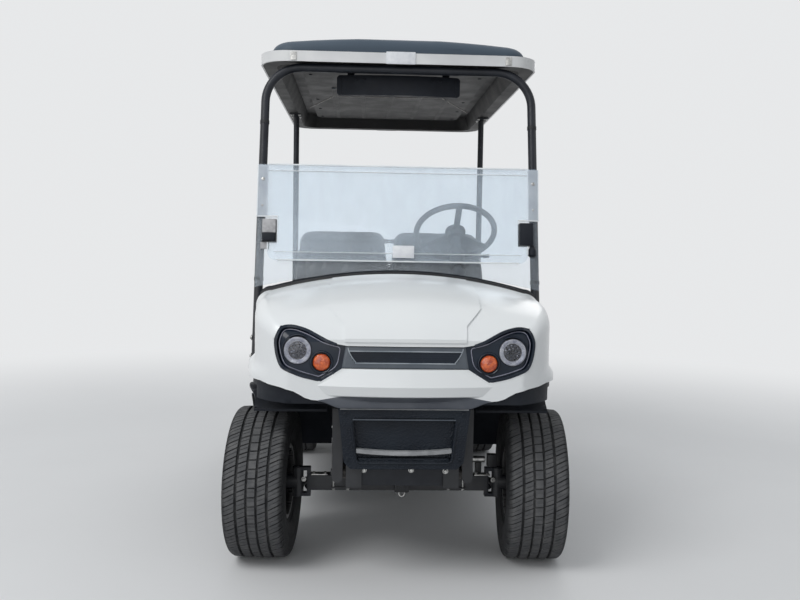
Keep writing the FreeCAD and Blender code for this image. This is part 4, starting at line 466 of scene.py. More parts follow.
def make_look(name, first, second, patch, rough, relief, sockets=None):
    sockets = dict(sockets or {})
    wear = [(kind, sockets.pop(kind)) for kind in ("worn", "dusty") if kind in sockets]
    if not isinstance(rough, tuple):
        sockets["Roughness"] = rough
    look = Look(name, first, **sockets)
    if second:
        look.patchy(first, second, patch)
    for kind, values in wear:
        getattr(look, kind)(*values)
    if isinstance(rough, tuple):
        look.uneven(*rough)
    for kind, scale, distance, strength, *option in relief:
        look.bump(getattr(look, kind)(scale, *option), distance, strength)
    return look


def make_looks():
    made = {name: make_look(name, *row) for name, row in LOOKS.items()}
    pane, roof, rubber = made["clear_pane"], made["roof_black"], made["tyre_rubber"]
    haze = pane.spread(pane.noise(5, 6, (1, 1, 0.35), 0.6), 0.35, 0.7, 0.86, 0.68)
    pane.feed(pane.shader.inputs["Transmission Weight"], haze)
    # Painted sky reflection: the roof's outer skin is tinted bluish grey, lighter than its black underside, and where
    # it faces up it gets paler blue patches of painted sky sheen.
    outside = roof.math("MULTIPLY", roof.spread(roof.facing_up(), -0.3, -0.1),
                        roof.spread(roof.split(roof.place)["Z"], 1.955, 1.962))
    roof.blend(outside, (0.056, 0.080, 0.108)).dusty((0.17, 0.205, 0.25), 0.6, 1.2)
    # Painted light and shade on the tyre: by distance from the axle, the tread's tops turn a paler grey as a painted
    # highlight, and its grooves stay dark as painted shade.
    rubber.blend(rubber.spread(rubber.radius(), 0.2695, 0.2745), (0.082, 0.084, 0.088))
    spots = rubber.math("MULTIPLY", rubber.spread(rubber.noise(26, 5), 0.42, 0.7), 0.6)
    rubber.blend(rubber.math("MULTIPLY", rubber.spread(rubber.radius(), 0.255, 0.275), spots), (0.15, 0.15, 0.15))
    return {name: look.material for name, look in made.items()}


looks = make_looks()
slots = {p["node"]: p["material_slot"] for p in frame["record"]["subparts"]}
for name, item in nodes.items():
    item.data.materials.clear()
    item.data.materials.append(looks[slots[name]])
nodes["front_bumper"].data.materials[0] = looks["bumper_plastic"]


# Wheels

WHEEL_R, HALF_TRACK, KINGPIN_X, STEER = 0.277, 0.498, 0.375, math.radians(-4)
FRONT_Y, REAR_Y = -0.960, 0.710
PITCHES = 54
TREAD_DEPTH = 0.0085
SIPE = 0.32
RIM_FACE = 0.089
# Half of the tread's section, as (across, share of the groove's depth)
CROWN = ((0, 0), (0.006, 0), (0.0122, 0), (0.0135, 0.3), (0.0145, 1), (0.0198, 1), (0.0208, 0.3), (0.0222, 0),
         (0.031, 0), (0.040, 0), (0.0485, 0), (0.0498, 0.3), (0.051, 1), (0.0572, 1), (0.0584, 0.3), (0.06, 0),
         (0.069, 0), (0.079, 0), (0.089, 0), (0.096, 0), (0.1015, 0), (0.1052, 0), (0.1068, 0), (0.1075, 0))
SHOULDER = {0.089: 0.0028, 0.096: 0.0065, 0.1015: 0.0115, 0.1052: 0.0185, 0.1068: 0.026, 0.1075: 0.034}
WALL = ((0.1072, 0.246), (0.1082, 0.238), (0.1074, 0.2365), (0.1074, 0.2335), (0.1084, 0.232), (0.1086, 0.215),
        (0.1086, 0.2065), (0.1074, 0.2055), (0.1074, 0.2025), (0.1084, 0.2015), (0.1078, 0.19), (0.1055, 0.176),
        (0.1015, 0.163), (0.0975, 0.154), (0.0965, 0.1525), (0.0955, 0.1535), (0.0935, 0.1515), (0.091, 0.146),
        (0.0885, 0.1405), (0.084, 0.137), (0.082, 0.127), (0.074, 0.127))


def wheel_matrix(side, front):
    """Where a wheel's own frame goes: its own +X points out of the cart."""
    if not front:
        return spot(side * HALF_TRACK, REAR_Y, WHEEL_R, OUTWARD[side])
    pivot = spot(side * KINGPIN_X, FRONT_Y, WHEEL_R, Matrix.Rotation(STEER, 4, "Z"))
    return pivot @ Matrix.Translation((side * (HALF_TRACK - KINGPIN_X), 0, 0)) @ OUTWARD[side]


def slant(x):
    """How far round the tread a slot has moved at a point across it, in metres."""
    a = abs(x)
    way = 0.05 * min(a, 0.0145) + 0.40 * max(0, min(a, 0.051) - 0.0145) + 0.52 * max(0, a - 0.051)
    return way if x > 0 else -way


def tyre_form():
    half = [(x, WHEEL_R - SHOULDER.get(x, 0.0022 * (x / 0.08) ** 2), groove, (x >= 0.0145) + (x >= 0.051))
            for x, groove in CROWN]
    columns = [(-x, r, g, rib) for x, r, g, rib in reversed(half[1:])] + half
    cuts = ((0, 0), (0.035, 1), (0.125, 1), (0.16, 0), (0.5, 0), (0.525, SIPE), (0.57, SIPE), (0.6, 0))
    rows = []
    for i in range(PITCHES):
        for share, deep in cuts:
            row = []
            for x, r, groove, rib in columns:
                fades = max(0.0, 1 - max(0.0, abs(x) - 0.1) / 0.008)
                slot = deep * (0.2 if deep == SIPE and rib == 0 else 1) * fades
                radius = r - TREAD_DEPTH * max(groove, slot * (0.8 if rib < 2 else 0.72))
                angle = (i + share) * (TAU / PITCHES) + slant(x) / WHEEL_R
                row.append((x, radius * math.sin(angle), radius * math.cos(angle)))
            rows.append(row)
    form = Form().grid(rows, around=True, flip=True)
    return form.lathe(WALL, 120, flip=True).lathe([(-x, r) for x, r in WALL], 120)


def make_wheels():
    tyre = None
    for name, side, front in (("front_left", 1, True), ("front_right", -1, True),
                              ("rear_left", 1, False), ("rear_right", -1, False)):
        at = wheel_matrix(side, front)
        body, piece, node = "wheel_" + name, f"{name}_tyre_tread", f"{name}_tyre"
        if tyre is None:
            tyre = tyre_form().finish(piece, "tyre_rubber", body, [node], 32, at=at).data
        else:
            place(piece, tyre, body, [node], 0, at)
        dress_rim(name, body, at)


def dress_rim(name, body, at):
    """Machined lip, wheel nuts, cap and valve on the outside of a rim."""
    lip = [(RIM_FACE + x, r) for x, r in ((0.0003, 0.1385), (0.0022, 0.137), (0.0022, 0.128), (0.0003, 0.1255))]
    form = Form().lathe(lip, 96, flip=True)
    for i in range(4):
        form.lathe([(0, 0.0112), (0.013, 0.0112), (0.0165, 0.0075), (0.0165, 0)], 6,
                   at=Matrix.Rotation(TAU * i / 4, 4, "X") @ spot(RIM_FACE - 0.0145, 0.0508, 0))
    form.lathe([(0, 0.0285), (0.010, 0.0285), (0.0135, 0.026), (0.0150, 0.02), (0.0158, 0.0)], 40,
               at=spot(RIM_FACE - 0.0145, 0, 0))
    form.finish(f"{name}_rim_brightwork", "alloy_bright", body, at=at)
    valve = [(0, 0.0055), (0.018, 0.0045), (0.019, 0.0052), (0.03, 0.0052), (0.032, 0.004), (0.032, 0)]
    where = Matrix.Rotation(math.radians(36), 4, "X") @ spot(RIM_FACE - 0.02, 0.113, 0)
    Form().lathe(valve, 14, at=where).finish(f"{name}_valve", "wheel_grip", body, at=at)


# Front of the body

# Outline of the left lamp pod in the front view, in mm, and its middle in metres
POD = ((200, 829), (225, 835), (256, 847), (325, 882), (374, 893), (408, 889), (427, 848), (420, 797), (405, 760),
       (341, 733), (290, 722), (276, 719), (264, 726), (212, 757))
POD_MIDDLE = Vector((0.325, 0.806))
HEADLAMP_AT, TURN_LAMP_AT = (0.352, 0.815), (0.274, 0.777)


def pod_points(inset=0.0):
    """The lamp pod's outline on the left side, drawn in towards its middle."""
    points = [Vector((x / 1000, z / 1000)) for x, z in POD]
    return rounded([tuple(p + (POD_MIDDLE - p).normalized() * inset) for p in points], 0.032)


def make_lamp_pods():
    """Rims round the lamp pods, flush with the cowl, and inside each a raised step coloured pale lilac as a painted
    highlight, and two lamp seats.
    """
    band, skin = tree_of("lamp_band"), tree_of("front_cowl")
    path = []
    for p in spread_out([(x, 0, z) for x, z in pod_points()], 0.008):
        # The skin has an opening here, so its depth is read at two points outside and drawn on
        out = (Vector((p.x, p.z)) - POD_MIDDLE).normalized()
        near, far = (front_at(skin, p.x + out.x * r, p.z + out.y * r) for r in (0.009, 0.018))
        path.append((p.x, 2 * near - far, p.z))
    count = len(path)
    path = [(x, sum(path[(i + k) % count][1] for k in range(-2, 3)) / 5, z) for i, (x, _, z) in enumerate(path)]
    rim = [(-0.0052, -0.012), (0.0052, -0.012), (0.0052, 0.0008), (0.0036, 0.0022), (-0.0036, 0.0022),
           (-0.0052, 0.0008)]
    form = Form().sweep(path, rim, closed=True)
    # The step inside the rim is raised, and its pale lilac colour is a painted highlight.
    form.sweep(lay(band, pod_points(0.013)), bar(0.0014, -0.003, 0.0012, 0.0036), closed=True, mark=1)
    for (x, z), r in ((HEADLAMP_AT, 0.0463), (TURN_LAMP_AT, 0.0313)):
        form.lathe([(-0.004, r + 0.0075), (0.003, r + 0.0072), (0.0052, r + 0.0055), (0.0056, r + 0.003),
                    (0.004, r + 0.0008), (-0.004, r + 0.0004)], 64,
                   at=spot(x, front_at(band, x + r + 0.004, z), z, FORWARD), mark=2)
    form.mirror().finish("lamp_pod_rims", "slate_gloss rim_line slate_gloss")


def make_grille():
    """Lighter centre panel between the pods, with a dark recess, its slats and two bright lines."""
    tree = tree_of("lamp_band")
    low, high = 0.7585, 0.8295
    levels = [low, 0.7605, 0.766, 0.7745, 0.784, 0.795, 0.806, 0.8155, 0.8225, 0.828, high]
    count = 96

    def in_recess(x, z):
        return abs(x) < 0.187 - (0.815 - z) * 0.55 and 0.7745 < z < 0.8155

    item = bmesh.new()
    rows = []
    for z in levels:
        row = []
        for i in range(count + 1):
            x = (2 * i / count - 1) * (0.208 - (z - low) * 0.17)
            lift = 0.0 if z in (low, high) or i in (0, count) else 0.0028
            row.append(item.verts.new((x, front_at(tree, x, z) - 0.0006 - lift, z)))
        rows.append(row)
    for j, (below, above) in enumerate(zip(rows, rows[1:])):
        z = (levels[j] + levels[j + 1]) / 2
        for i in range(count):
            x = (below[i].co.x + below[i + 1].co.x) / 2
            if not in_recess(x, z):
                item.faces.new((below[i], below[i + 1], above[i + 1], above[i]))
    bmesh.ops.recalc_face_normals(item, faces=item.faces[:])
    bmesh.ops.solidify(item, geom=item.faces[:], thickness=0.0016)
    form = Form().take(item)
    ridge_line = [(-0.0016, -0.003), (0.0016, -0.003), (0.0016, 0.0042), (0, 0.0052), (-0.0016, 0.0042)]
    slat = bar(0.0012, -0.002, 0.0006, 0.0022)
    for z, reach, section, mark in ((0.8145, 0.186, ridge_line, 1), (0.7755, 0.165, ridge_line, 1),
                                    (0.8065, 0.18, slat, 2), (0.7995, 0.176, slat, 2), (0.7925, 0.172, slat, 2),
                                    (0.7855, 0.168, slat, 2)):
        form.sweep(lay(tree, [(-reach, z), (reach, z)], 0.01, False), section, mark=mark)
    for side in SIDES:
        arc = [(side * (0.188 - 0.026 * t ** 1.6), 0.8255 - 0.048 * t) for t in evenly(0, 1, 8)]
        form.sweep(lay(tree, arc, 0.006, False), bar(0.0015, -0.002, 0.0012, 0.0056), mark=1)
    form.finish("grille_panel", "grille_slate bright_line slate_gloss")


def make_headlamps():
    """Lamp bodies with a bright ring and 18 small reflector cups, each behind a clear lens."""
    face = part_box("headlamps")[0].y + 0.008
    x, z = HEADLAMP_AT
    form, lens = Form(), Form()
    for side in SIDES:
        at = spot(side * x, face, z, FORWARD)
        for profile, steps, mark in (
                ([(-0.044, 0), (-0.044, 0.030), (-0.034, 0.043), (0.0, 0.0458), (0.0032, 0.0455), (0.0045, 0.0442)],
                 72, 3),
                ([(0.0045, 0.0442), (0.0056, 0.043), (0.0058, 0.0405), (0.0044, 0.0335), (0.0024, 0.0298)], 72, 0),
                ([(0.0024, 0.0298), (-0.004, 0.0290), (-0.004, 0.0282)], 72, 2)):
            form.lathe(profile, steps, mark, at)
        for ring, (r, count, size) in enumerate(((0.0225, 11, 0.0049), (0.0122, 6, 0.0048), (0.0, 1, 0.0046))):
            cup = [(-0.012, 0), (-0.012, size * 0.35), (-0.0105, size * 0.6), (-0.0045, size * 0.97),
                   (-0.0035, size * 1.04)]
            for a, b in circle(r, count, 0.25 * ring):
                form.lathe(cup, 14, 1, at @ spot(0, a, b))
        form.lathe([(-0.0130, 0.0), (-0.0130, 0.0284), (-0.0040, 0.0284)], 60, 2, at)
        form.lathe([(-0.0025, 0.0035), (0.0, 0.0028), (0.0008, 0.0)], 16, 2, at)
        lens.lathe([(0.0052, 0.0432), (0.0078, 0.038), (0.0098, 0.028), (0.0110, 0.015), (0.0114, 0.0)], 64, at=at)
    form.finish("headlamp_units", "lamp_ring lamp_bowl projector black_plastic", replaced=["headlamps"])
    lens.finish("headlamp_lenses", "lamp_lens", smooth=60)


def make_turn_lamps():
    """Amber lamps with a faceted lens."""
    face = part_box("turn_lamps")[0].y + 0.006
    x, z = TURN_LAMP_AT
    rings = ((0.0028, 0.0279), (0.0062, 0.0245), (0.0082, 0.0185), (0.0094, 0.0120), (0.0100, 0.0060),
             (0.0102, 0.0))
    count = 18
    form = Form()
    for side in SIDES:
        at = spot(side * x, face, z, FORWARD)
        form.lathe([(-0.044, 0), (-0.044, 0.022), (-0.03, 0.0285), (0.0, 0.0306), (0.003, 0.0303), (0.0045, 0.0288),
                    (0.003, 0.0278)], mark=1, at=at)
        rows = []
        for i in range(count):
            row = []
            for k, (out, r) in enumerate(rings):
                a = TAU * (i + 0.5 * (k % 2)) / count
                out += 0.0007 * ((i + k) % 2) if 0 < k < 5 else 0
                row.append((out, r * math.cos(a), r * math.sin(a)))
            rows.append(row)
        form.grid(rows, around=True, at=at)
    form.finish("turn_lamp_units", "amber_lens black_plastic", replaced=["turn_lamps"], smooth=12)


def make_seal():
    """Rubber seal along the bonnet's rear edge, lying on the skin, with a bulb at the back."""
    tree = tree_of("front_cowl")
    section = ((-0.7685, 0.0), (-0.7675, 0.0022), (-0.7540, 0.003), (-0.7515, 0.0085), (-0.7455, 0.0115),
               (-0.7402, 0.0085), (-0.7392, 0.0))
    rows = []
    for i in range(121):
        x = (2 * i / 120 - 1) * 0.545
        rows.append([(x, y, top_at(tree, x, min(y, -0.7402)) + lift - 0.0004) for y, lift in section])
    Form().grid(rows, across=True, flip=True).ends(rows).finish("bonnet_seal", "wheel_grip")


def make_bumper_trim():
    """Pale painted highlights along the black bumper's edges and on the ledge in its sunk panel, and the bumper's
    fasteners.
    """
    form = Form()
    thin = bar(0.002, -0.003, 0.0016, 0.0016)
    # Painted highlight: a pale line along the black bumper's top edge
    form.sweep(lay(tree_of("front_bumper"), [(-0.212, 0.6225), (0.212, 0.6225)], 0.02, False), thin, mark=2)
    frame_line = rounded([(-0.176, 0.588), (0.176, 0.588), (0.158, 0.443), (-0.158, 0.443)], 0.016)
    form.sweep([(x, -1.344, z) for x, z in frame_line],
               [(-0.0035, -0.004), (0.0035, -0.004), (0.003, 0.003), (0, 0.0042), (-0.003, 0.003)], closed=True)
    # Painted highlight: a pale slate line along the top edge of the sunk panel
    form.sweep([(x, -1.3478, 0.5885) for x in (-0.170, 0.170)], thin, mark=1)
    ledge = [(x, -1.335 - 0.004 * (1 - (x / 0.16) ** 2), 0.4735 + 0.008 * (x / 0.16) ** 2)
             for x in [(k / 12 - 1) * 0.158 for k in range(25)]]
    # The ledge has the bumper's own form, and its pale grey is a painted highlight where sunlight falls on it.
    form.sweep(ledge, [(-0.009, -0.011), (0.006, -0.011), (0.0075, 0.002), (0.004, 0.008), (-0.009, 0.008)], mark=2)
    form.sweep([(x, -1.3345, 0.4515) for x in (-0.15, 0.15)], bar(0.007, -0.012, 0.006, 0.002))
    for side in SIDES:
        for x, z in ((0.196, 0.606), (0.186, 0.455)):
            form.lathe([(-0.002, 0.0075), (0.0022, 0.007), (0.0034, 0.005), (0.0034, 0.0026), (0.0018, 0.0022),
                        (0.0018, 0)], 18, at=spot(side * x, -1.344, z, FORWARD))
    form.finish("bumper_trim", "bumper_plastic grille_slate ledge_slate")


# Windscreen and its hoop, in the hoop's own leaning frame

HOOP = spot(0, -0.714, 0.690, Matrix.Rotation(math.radians(-9.2), 4, "X"))
FOLD_FRONT = -0.0338


def screw(form, x, y, z, radius, mark):
    """Pan-head screw that faces forward."""
    profile = [(0.0, 1.0), (0.28, 0.95), (0.5, 0.6), (0.5, 0.3), (0.25, 0.26), (0.25, 0)]
    form.lathe([(radius * a, radius * r) for a, r in profile], 18, mark, spot(x, y, z, FORWARD))


def hexagon(form, at, radius=0.008, height=0.006, mark=0):
    """Bolt head with its washer, along local X."""
    form.lathe([(0, 0), (0, radius * 1.5), (0.0015, radius * 1.48), (0.0018, radius * 1.1)], 20, mark, at)
    form.lathe([(0.0015, radius), (0.0015 + height * 0.8, radius), (0.0015 + height, radius * 0.86),
                (0.0015 + height, 0)], 6, mark, at)


def lean(form):
    """Takes a form from the hoop's frame to the cart's."""
    form.points = [HOOP @ p for p in form.points]
    return form


def make_screen_trim():
    """Pale strips of painted highlight along the edges of both panes, the folded pane's side strips, a blank label, and
    the clips that hold them.
    """
    form = Form()
    front = FOLD_FRONT + 0.0025
    edge = bar(0.0025, -0.0032, 0.0025, 0.0032)
    lines = [(-x, z, x, z, section) for x, z, section in (
        (0.530, 0.8005, edge), (0.528, 0.7745, bar(0.0012, -0.003, 0.0012, 0.0036)),
        (0.490, 0.4095, edge), (0.500, 0.4420, bar(0.001, -0.003, 0.001, 0.0034)))]
    for side in SIDES:
        lines += [(side * x0, z0, side * x1, z1, edge) for x0, z0, x1, z1 in (
            (0.5715, 0.799, 0.5715, 0.5865), (0.5715, 0.5862, 0.489, 0.5862), (0.5275, 0.480, 0.5275, 0.445))]
    # The pale edge strips are painted highlights where light catches the panes' edges.
    for x0, z0, x1, z1, section in lines:
        form.sweep([HOOP @ Vector((x, front, z)) for x, z in ((x0, z0), (x1, z1))], section,
                   up=HOOP.to_3x3() @ Vector(VIEW_UP))
    form.finish("screen_edges", "pane_edge_highlight")

    form = Form()
    for side in SIDES:
        form.block((0.040, 0.0012, 0.209), (side * 0.5505, FOLD_FRONT - 0.0008, 0.6928), 0.0004)
    form.block((0.087, 0.0052, 0.051), (0.0203, FOLD_FRONT - 0.0028, 0.4485), 0.0016, mark=1)
    lean(form).finish("screen_strips", "pane_frost blank_label")

    form = Form()
    for side in SIDES:
        screw(form, side * 0.551, FOLD_FRONT, 0.739, 0.0075, 0)
        screw(form, side * 0.551, FOLD_FRONT, 0.630, 0.005, 0)
    for size, at, edge, mark in (((0.054, 0.006, 0.056), (-0.5225, -0.0358, 0.5470), 0.002, 1),
                                 ((0.05, 0.012, 0.034), (-0.5225, -0.0385, 0.5015), 0.003, 2),
                                 ((0.054, 0.010, 0.09), (0.5225, -0.0378, 0.530), 0.003, 2),
                                 ((0.036, 0.006, 0.028), (-0.539, -0.0240, 0.4680), 0.002, 1)):
        form.block(size, at, edge, mark=mark)
    knob = [(0.0, 0.0), (0.0, 0.010), (0.006, 0.0165), (0.026, 0.0175), (0.034, 0.0135), (0.046, 0.0085),
            (0.0475, 0.0)]
    form.lathe(knob, 24, 2, spot(0.548, -0.0215, 0.4375, UPWARD))
    lean(form).finish("screen_clips", "zinc clip_grey black_plastic", slot="black_plastic")


def make_hoop_fittings():
    """Bolts through the hoop's feet and rubber bands round its posts."""
    form = Form()
    for side in SIDES:
        for z in (0.025, 0.098):
            hexagon(form, HOOP @ spot(side * 0.5838, 0, z, OUTWARD[side]), 0.0075, 0.005)
    form.finish("hoop_bolts", "zinc")
    form = Form()
    for side in SIDES:
        for z in (0.335, 0.985):
            x = side * (0.566 - 0.014 * z / 1.2)
            rows = [[(x + out * c, out * s, z + high)
                     for high, out in ((-0.007, 0.0172), (-0.007, 0.0192), (0.007, 0.0192), (0.007, 0.0172))]
                    for c, s in circle(1, 24)]
            form.grid(rows, around=True, across=True, at=HOOP)
    form.finish("hoop_bands", "wheel_grip")


# Roof

def make_roof_fittings():
    """Splice sleeve and clips on the light band, and the rivets along it."""
    form = Form()
    for size, at, edge, mark in (((0.121, 0.0072, 0.0505), (0.0025, -0.5618, 1.9362), 0.0022, 2),
                                 ((0.026, 0.004, 0.034), (-0.439, -0.5612, 1.9345), 0.0015, 1),
                                 ((0.026, 0.004, 0.034), (0.450, -0.5612, 1.9345), 0.0015, 1),
                                 ((0.119, 0.0052, 0.046), (0.0, 1.3912, 1.9358), 0.0018, 0)):
        form.block(size, at, edge, mark=mark)
    for side in SIDES:
        for y in (-0.30, 0.05, 0.415, 0.78, 1.13):
            form.lathe([(-0.001, 0.006), (0.0012, 0.0055), (0.0022, 0.003), (0.0024, 0)], 14, 1,
                       spot(side * 0.583, y, 1.9355, OUTWARD[side]))
    form.finish("band_splices", "silver_trim zinc blank_label")


def make_ceiling():
    """Moulded ridges under the roof: the crease that follows the rear posts and the stiffening ribs."""
    form = Form()
    z = 1.964
    up = (0, 0, 1)
    form.sweep([(-0.462, 0.88, z), (-0.31, 0.50, z), (0.27, 0.475, z), (0.462, 0.93, z)],
               [(-0.0055, 0.0012), (-0.003, -0.0022), (0.003, -0.0022), (0.0055, 0.0012)], up=up)
    for x in (-0.30, -0.15, 0.0, 0.15, 0.30):
        form.sweep([(x, 0.26, z), (x, 1.19, z)], [(-0.016, 0.001), (-0.008, -0.005), (0.008, -0.005), (0.016, 0.001)],
                   up=up, mark=1)
    for side in SIDES:
        for y in (-0.30, -0.05, 0.60, 0.90, 1.18):
            form.lathe([(0, 0.009), (0.0022, 0.0085), (0.0034, 0.005), (0.0036, 0)], 18, 2,
                       spot(side * 0.40, y, z, DOWNWARD))
    form.finish("ceiling_ridges", "ceiling_line roof_black black_plastic")


def make_mirror_detail():
    """Glass on the mirror's rear face, seams at its ends, and the screws of its brackets."""
    tree = tree_of("mirror")
    rows = []
    for z in [1.8105 + 0.069 * j / 6 for j in range(7)]:
        across = [(2 * i / 48 - 1) * 0.252 for i in range(49)]
        rows.append([(x, cast(tree, (x, 0.3, 1.845), (0, -1, 0))[0].y + 0.0022, z) for x in across])
    form = Form().grid(rows, flip=True)
    edge = rows[0] + [r[-1] for r in rows[1:]] + rows[-1][-2::-1] + [r[0] for r in rows[-2:0:-1]]
    form.sweep(edge, bar(0.003, -0.002, 0.003, 0.0016), closed=True, up=(0, 1, 0), mark=1)
    for x in (-0.245, 0.245):
        line = [(x, front_at(tree, x, z) - 0.0006, z) for z in [1.8065 + 0.077 * k / 8 for k in range(9)]]
        form.sweep(line, bar(0.002, -0.001, 0.0015, 0.0016), mark=1)
    for x, z in ((-0.178, 1.869), (-0.146, 1.868), (0.146, 1.868), (0.178, 1.869)):
        screw(form, x, front_at(tree, x, z), z, 0.0065, 1)
    form.finish("mirror_parts", "mirror_glass black_plastic")


# White cowl skin, the painted shade under its nose, its black apron, and the liners behind it

# The hem in the front view, from the lip's end out past the wing. Its points at HEM_FOOT only close the cutter.
HEM_FOOT = 0.600
HEM = ((0.215, HEM_FOOT), (0.215, 0.6395), (0.235, 0.6405), (0.250, 0.6445), (0.265, 0.6485), (0.2845, 0.6525),
       (0.306, 0.6545), (0.327, 0.661), (0.344, 0.671), (0.365, 0.682), (0.409, 0.6935), (0.449, 0.6985),
       (0.480, 0.706), (0.600, 0.706), (0.600, HEM_FOOT))


def solid_copy(name, longest):
    """A CAD node's mesh in the frame's metres, its long edges split."""
    item = bmesh.new()
    item.from_mesh(nodes[name].data)
    item.transform(nodes[name].matrix_world)
    bmesh.ops.remove_doubles(item, verts=item.verts[:], dist=1e-5)
    for _ in range(7):
        wide = [e for e in item.edges if e.calc_length() > longest]
        if not wide:
            break
        bmesh.ops.subdivide_edges(item, edges=wide, cuts=1)
        bmesh.ops.triangulate(item, faces=[f for f in item.faces if len(f.verts) > 3])
    return item


def evaluated(item):
    """A mesh of an object with its modifiers applied."""
    graph = bpy.context.evaluated_depsgraph_get()
    return bpy.data.meshes.new_from_object(item.evaluated_get(graph))


def one_look(mesh, look):
    mesh.materials.clear()
    mesh.materials.append(looks[look])
    return mesh


def carved(item, cutter, operation, look):
    """A mesh cut by, or cut down to, a closed form. Both are used up."""
    pair = []
    for data in (item, cutter):
        mesh = bpy.data.meshes.new("carved")
        bmesh.ops.recalc_face_normals(data, faces=data.faces[:])
        data.to_mesh(mesh)
        data.free()
        pair.append(new_object("carved", mesh))
    cut = pair[0].modifiers.new("cut", "BOOLEAN")
    cut.operation, cut.object, cut.solver = operation, pair[1], "EXACT"
    made = evaluated(pair[0])
    for thing in pair:
        bpy.data.objects.remove(thing)
    return one_look(made, look)


def hem_cutter(raised=0.0, rear=-1.05):
    """Space under the cowl's hem at the front corners, falling to the wing's hem towards the wheel."""
    rows = []
    for y, drop in ((-1.45, 0.0), (-1.22, 0.0), (rear, 1.0)):
        rows.append([(x, y, (z + (0.0 if z == HEM_FOOT else raised)) * (1 - drop) + min(z, 0.684) * drop)
                     for x, z in HEM])
    form = Form().grid(rows, across=True).ends(rows).mirror()
    item = bmesh.new()
    made = [item.verts.new(p) for p in form.points]
    for face in form.faces:
        item.faces.new([made[i] for i in face])
    bmesh.ops.remove_doubles(item, verts=item.verts[:], dist=1e-6)
    return item


def ease(value, low, high):
    t = max(0.0, min(1.0, (value - low) / (high - low)))
    return t * t * (3 - 2 * t)


def slimmer(p, core=0.44):
    """Draws the flanks in above the wings, so that the wings step out from them."""
    over = abs(p.x) - core
    if over > 0:
        amount = 0.2 * ease(-p.y, 0.75, 0.86) * ease(p.z, 0.722, 0.758)
        p.x = math.copysign(core + over * (1 - amount), p.x)


def crease(mesh, inside, degrees):
    """Keeps the shallow creases of one region crisp."""
    item = bmesh.new()
    item.from_mesh(mesh)
    for e in item.edges:
        if len(e.link_faces) == 2 and all(inside(v.co) for v in e.verts):
            if e.calc_face_angle() > math.radians(degrees):
                e.smooth = False
    item.to_mesh(mesh)
    item.free()


def make_cowl_skin():
    """White cowl with a hem that rises to pointed wings, and a black apron behind the hem."""
    skin = solid_copy("front_cowl", 0.026)
    back = skin.copy()
    for v in skin.verts:
        slimmer(v.co)
    mesh = carved(skin, hem_cutter(), "DIFFERENCE", "white_gloss")
    place("front_cowl_skin", mesh, "chassis", ["front_cowl"], 17)
    for inside, degrees in ((lambda p: p.y < -1.25 and abs(p.x) < 0.37 and p.z < 0.735, 5),
                            (lambda p: abs(p.x) < 0.33 and 0.81 < p.z < 0.93, 7),
                            (lambda p: abs(p.x) < 0.36 and p.z > 0.92, 9)):
        crease(mesh, inside, degrees)
    for v in back.verts:
        v.co.x *= 0.979
        v.co.y += 0.0083
    mesh = carved(back, hem_cutter(0.024, -1.16), "INTERSECT", "black_plastic")
    place("cowl_apron", mesh, "chassis", (), 32)


def make_arch_liners():
    """Arch liners with their front edges drawn in under the cowl."""
    item = solid_copy("wheel_liners", 0.03)
    for v in item.verts:
        reach = 0.516 + 0.040 * ease(v.co.y, -1.13, -0.96) + 0.024 * ease(v.co.y, -0.745, -0.735)
        v.co.x = math.copysign(min(abs(v.co.x), reach), v.co.x)
    bmesh.ops.dissolve_degenerate(item, dist=1e-5, edges=item.edges[:])
    mesh = bpy.data.meshes.new("wheel_arch_liners")
    item.to_mesh(mesh)
    item.free()
    place("wheel_arch_liners", one_look(mesh, "black_plastic"), "chassis", ["wheel_liners"], 35)


def make_nose_shade_sheet():
    """Dark sheet of painted shade on the white cowl's downward-facing lip under its nose, tapering to both ends, its
    foot hanging past the hem.
    """
    tree = tree_of("front_cowl")
    half, levels = 0.2845, 8
    rows = []
    for i in range(61):
        x = (i / 30 - 1) * half
        high = 0.6675 - 0.0145 * (max(0.0, abs(x) - 0.205) / 0.0795)
        foot = 0.6280 + 0.0225 * ease(abs(x), 0.208, half)
        row = []
        for k in range(levels + 1):
            z = high + (foot - high) * k / levels
            proud = 0.0002 + 0.0018 * min(1, k * 2, (levels - k) * 2 + 0.4)
            row.append((x, front_at(tree, x, max(z, 0.6425)) - proud, z))
        row += [(x, row[-1][1] + 0.0035, foot - 0.0012), (x, row[-1][1] + 0.0075, foot + 0.0008),
                (x, row[-1][1] + 0.0080, max(foot, 0.638) + 0.001), (x, row[0][1] + 0.003, high - 0.001)]
        rows.append(row)
    Form().grid(rows, across=True).ends(rows, flip=True).finish("nose_shade_sheet", "nose_shade_slate", smooth=35)


# Seats

PAD_SHRINK, PAD_CAP = 0.006, 0.012
VOXEL, QUICK_VOXEL = 0.0098, 0.016
BLOW_FRAMES = 20
WELT_HEIGHT = 0.030


def ridge(distance, width):
    """1 on a seam's line, falling to 0 a width away."""
    return math.exp(-(distance / width) ** 2)


def clamp(value, low=0.0, high=1.0):
    return max(low, min(high, value))


def blow_up(item, scene):
    """Swells the pad's cover by a cloth run under pressure, each point by the pad's cap at most."""
    start = [v.co.copy() for v in item.data.vertices]
    cloth = item.modifiers.new("cover", "CLOTH")
    for key, value in dict(use_pressure=True, uniform_pressure_force=4, vertex_group_mass="held", quality=5,
                           tension_stiffness=12, compression_stiffness=12, bending_stiffness=0.6,
                           shrink_min=-0.025).items():
        setattr(cloth.settings, key, value)
    cloth.settings.effector_weights.gravity = 0
    cloth.point_cache.frame_start, cloth.point_cache.frame_end = 1, BLOW_FRAMES
    for moment in range(1, BLOW_FRAMES + 1):
        scene.frame_set(moment)
    blown = item.evaluated_get(bpy.context.evaluated_depsgraph_get()).data
    for i, vert in enumerate(item.data.vertices):
        move = blown.vertices[i].co - start[i]
        if move.length > PAD_CAP:
            move *= PAD_CAP / move.length
        vert.co = start[i] + move
    item.modifiers.clear()
    scene.frame_set(1)


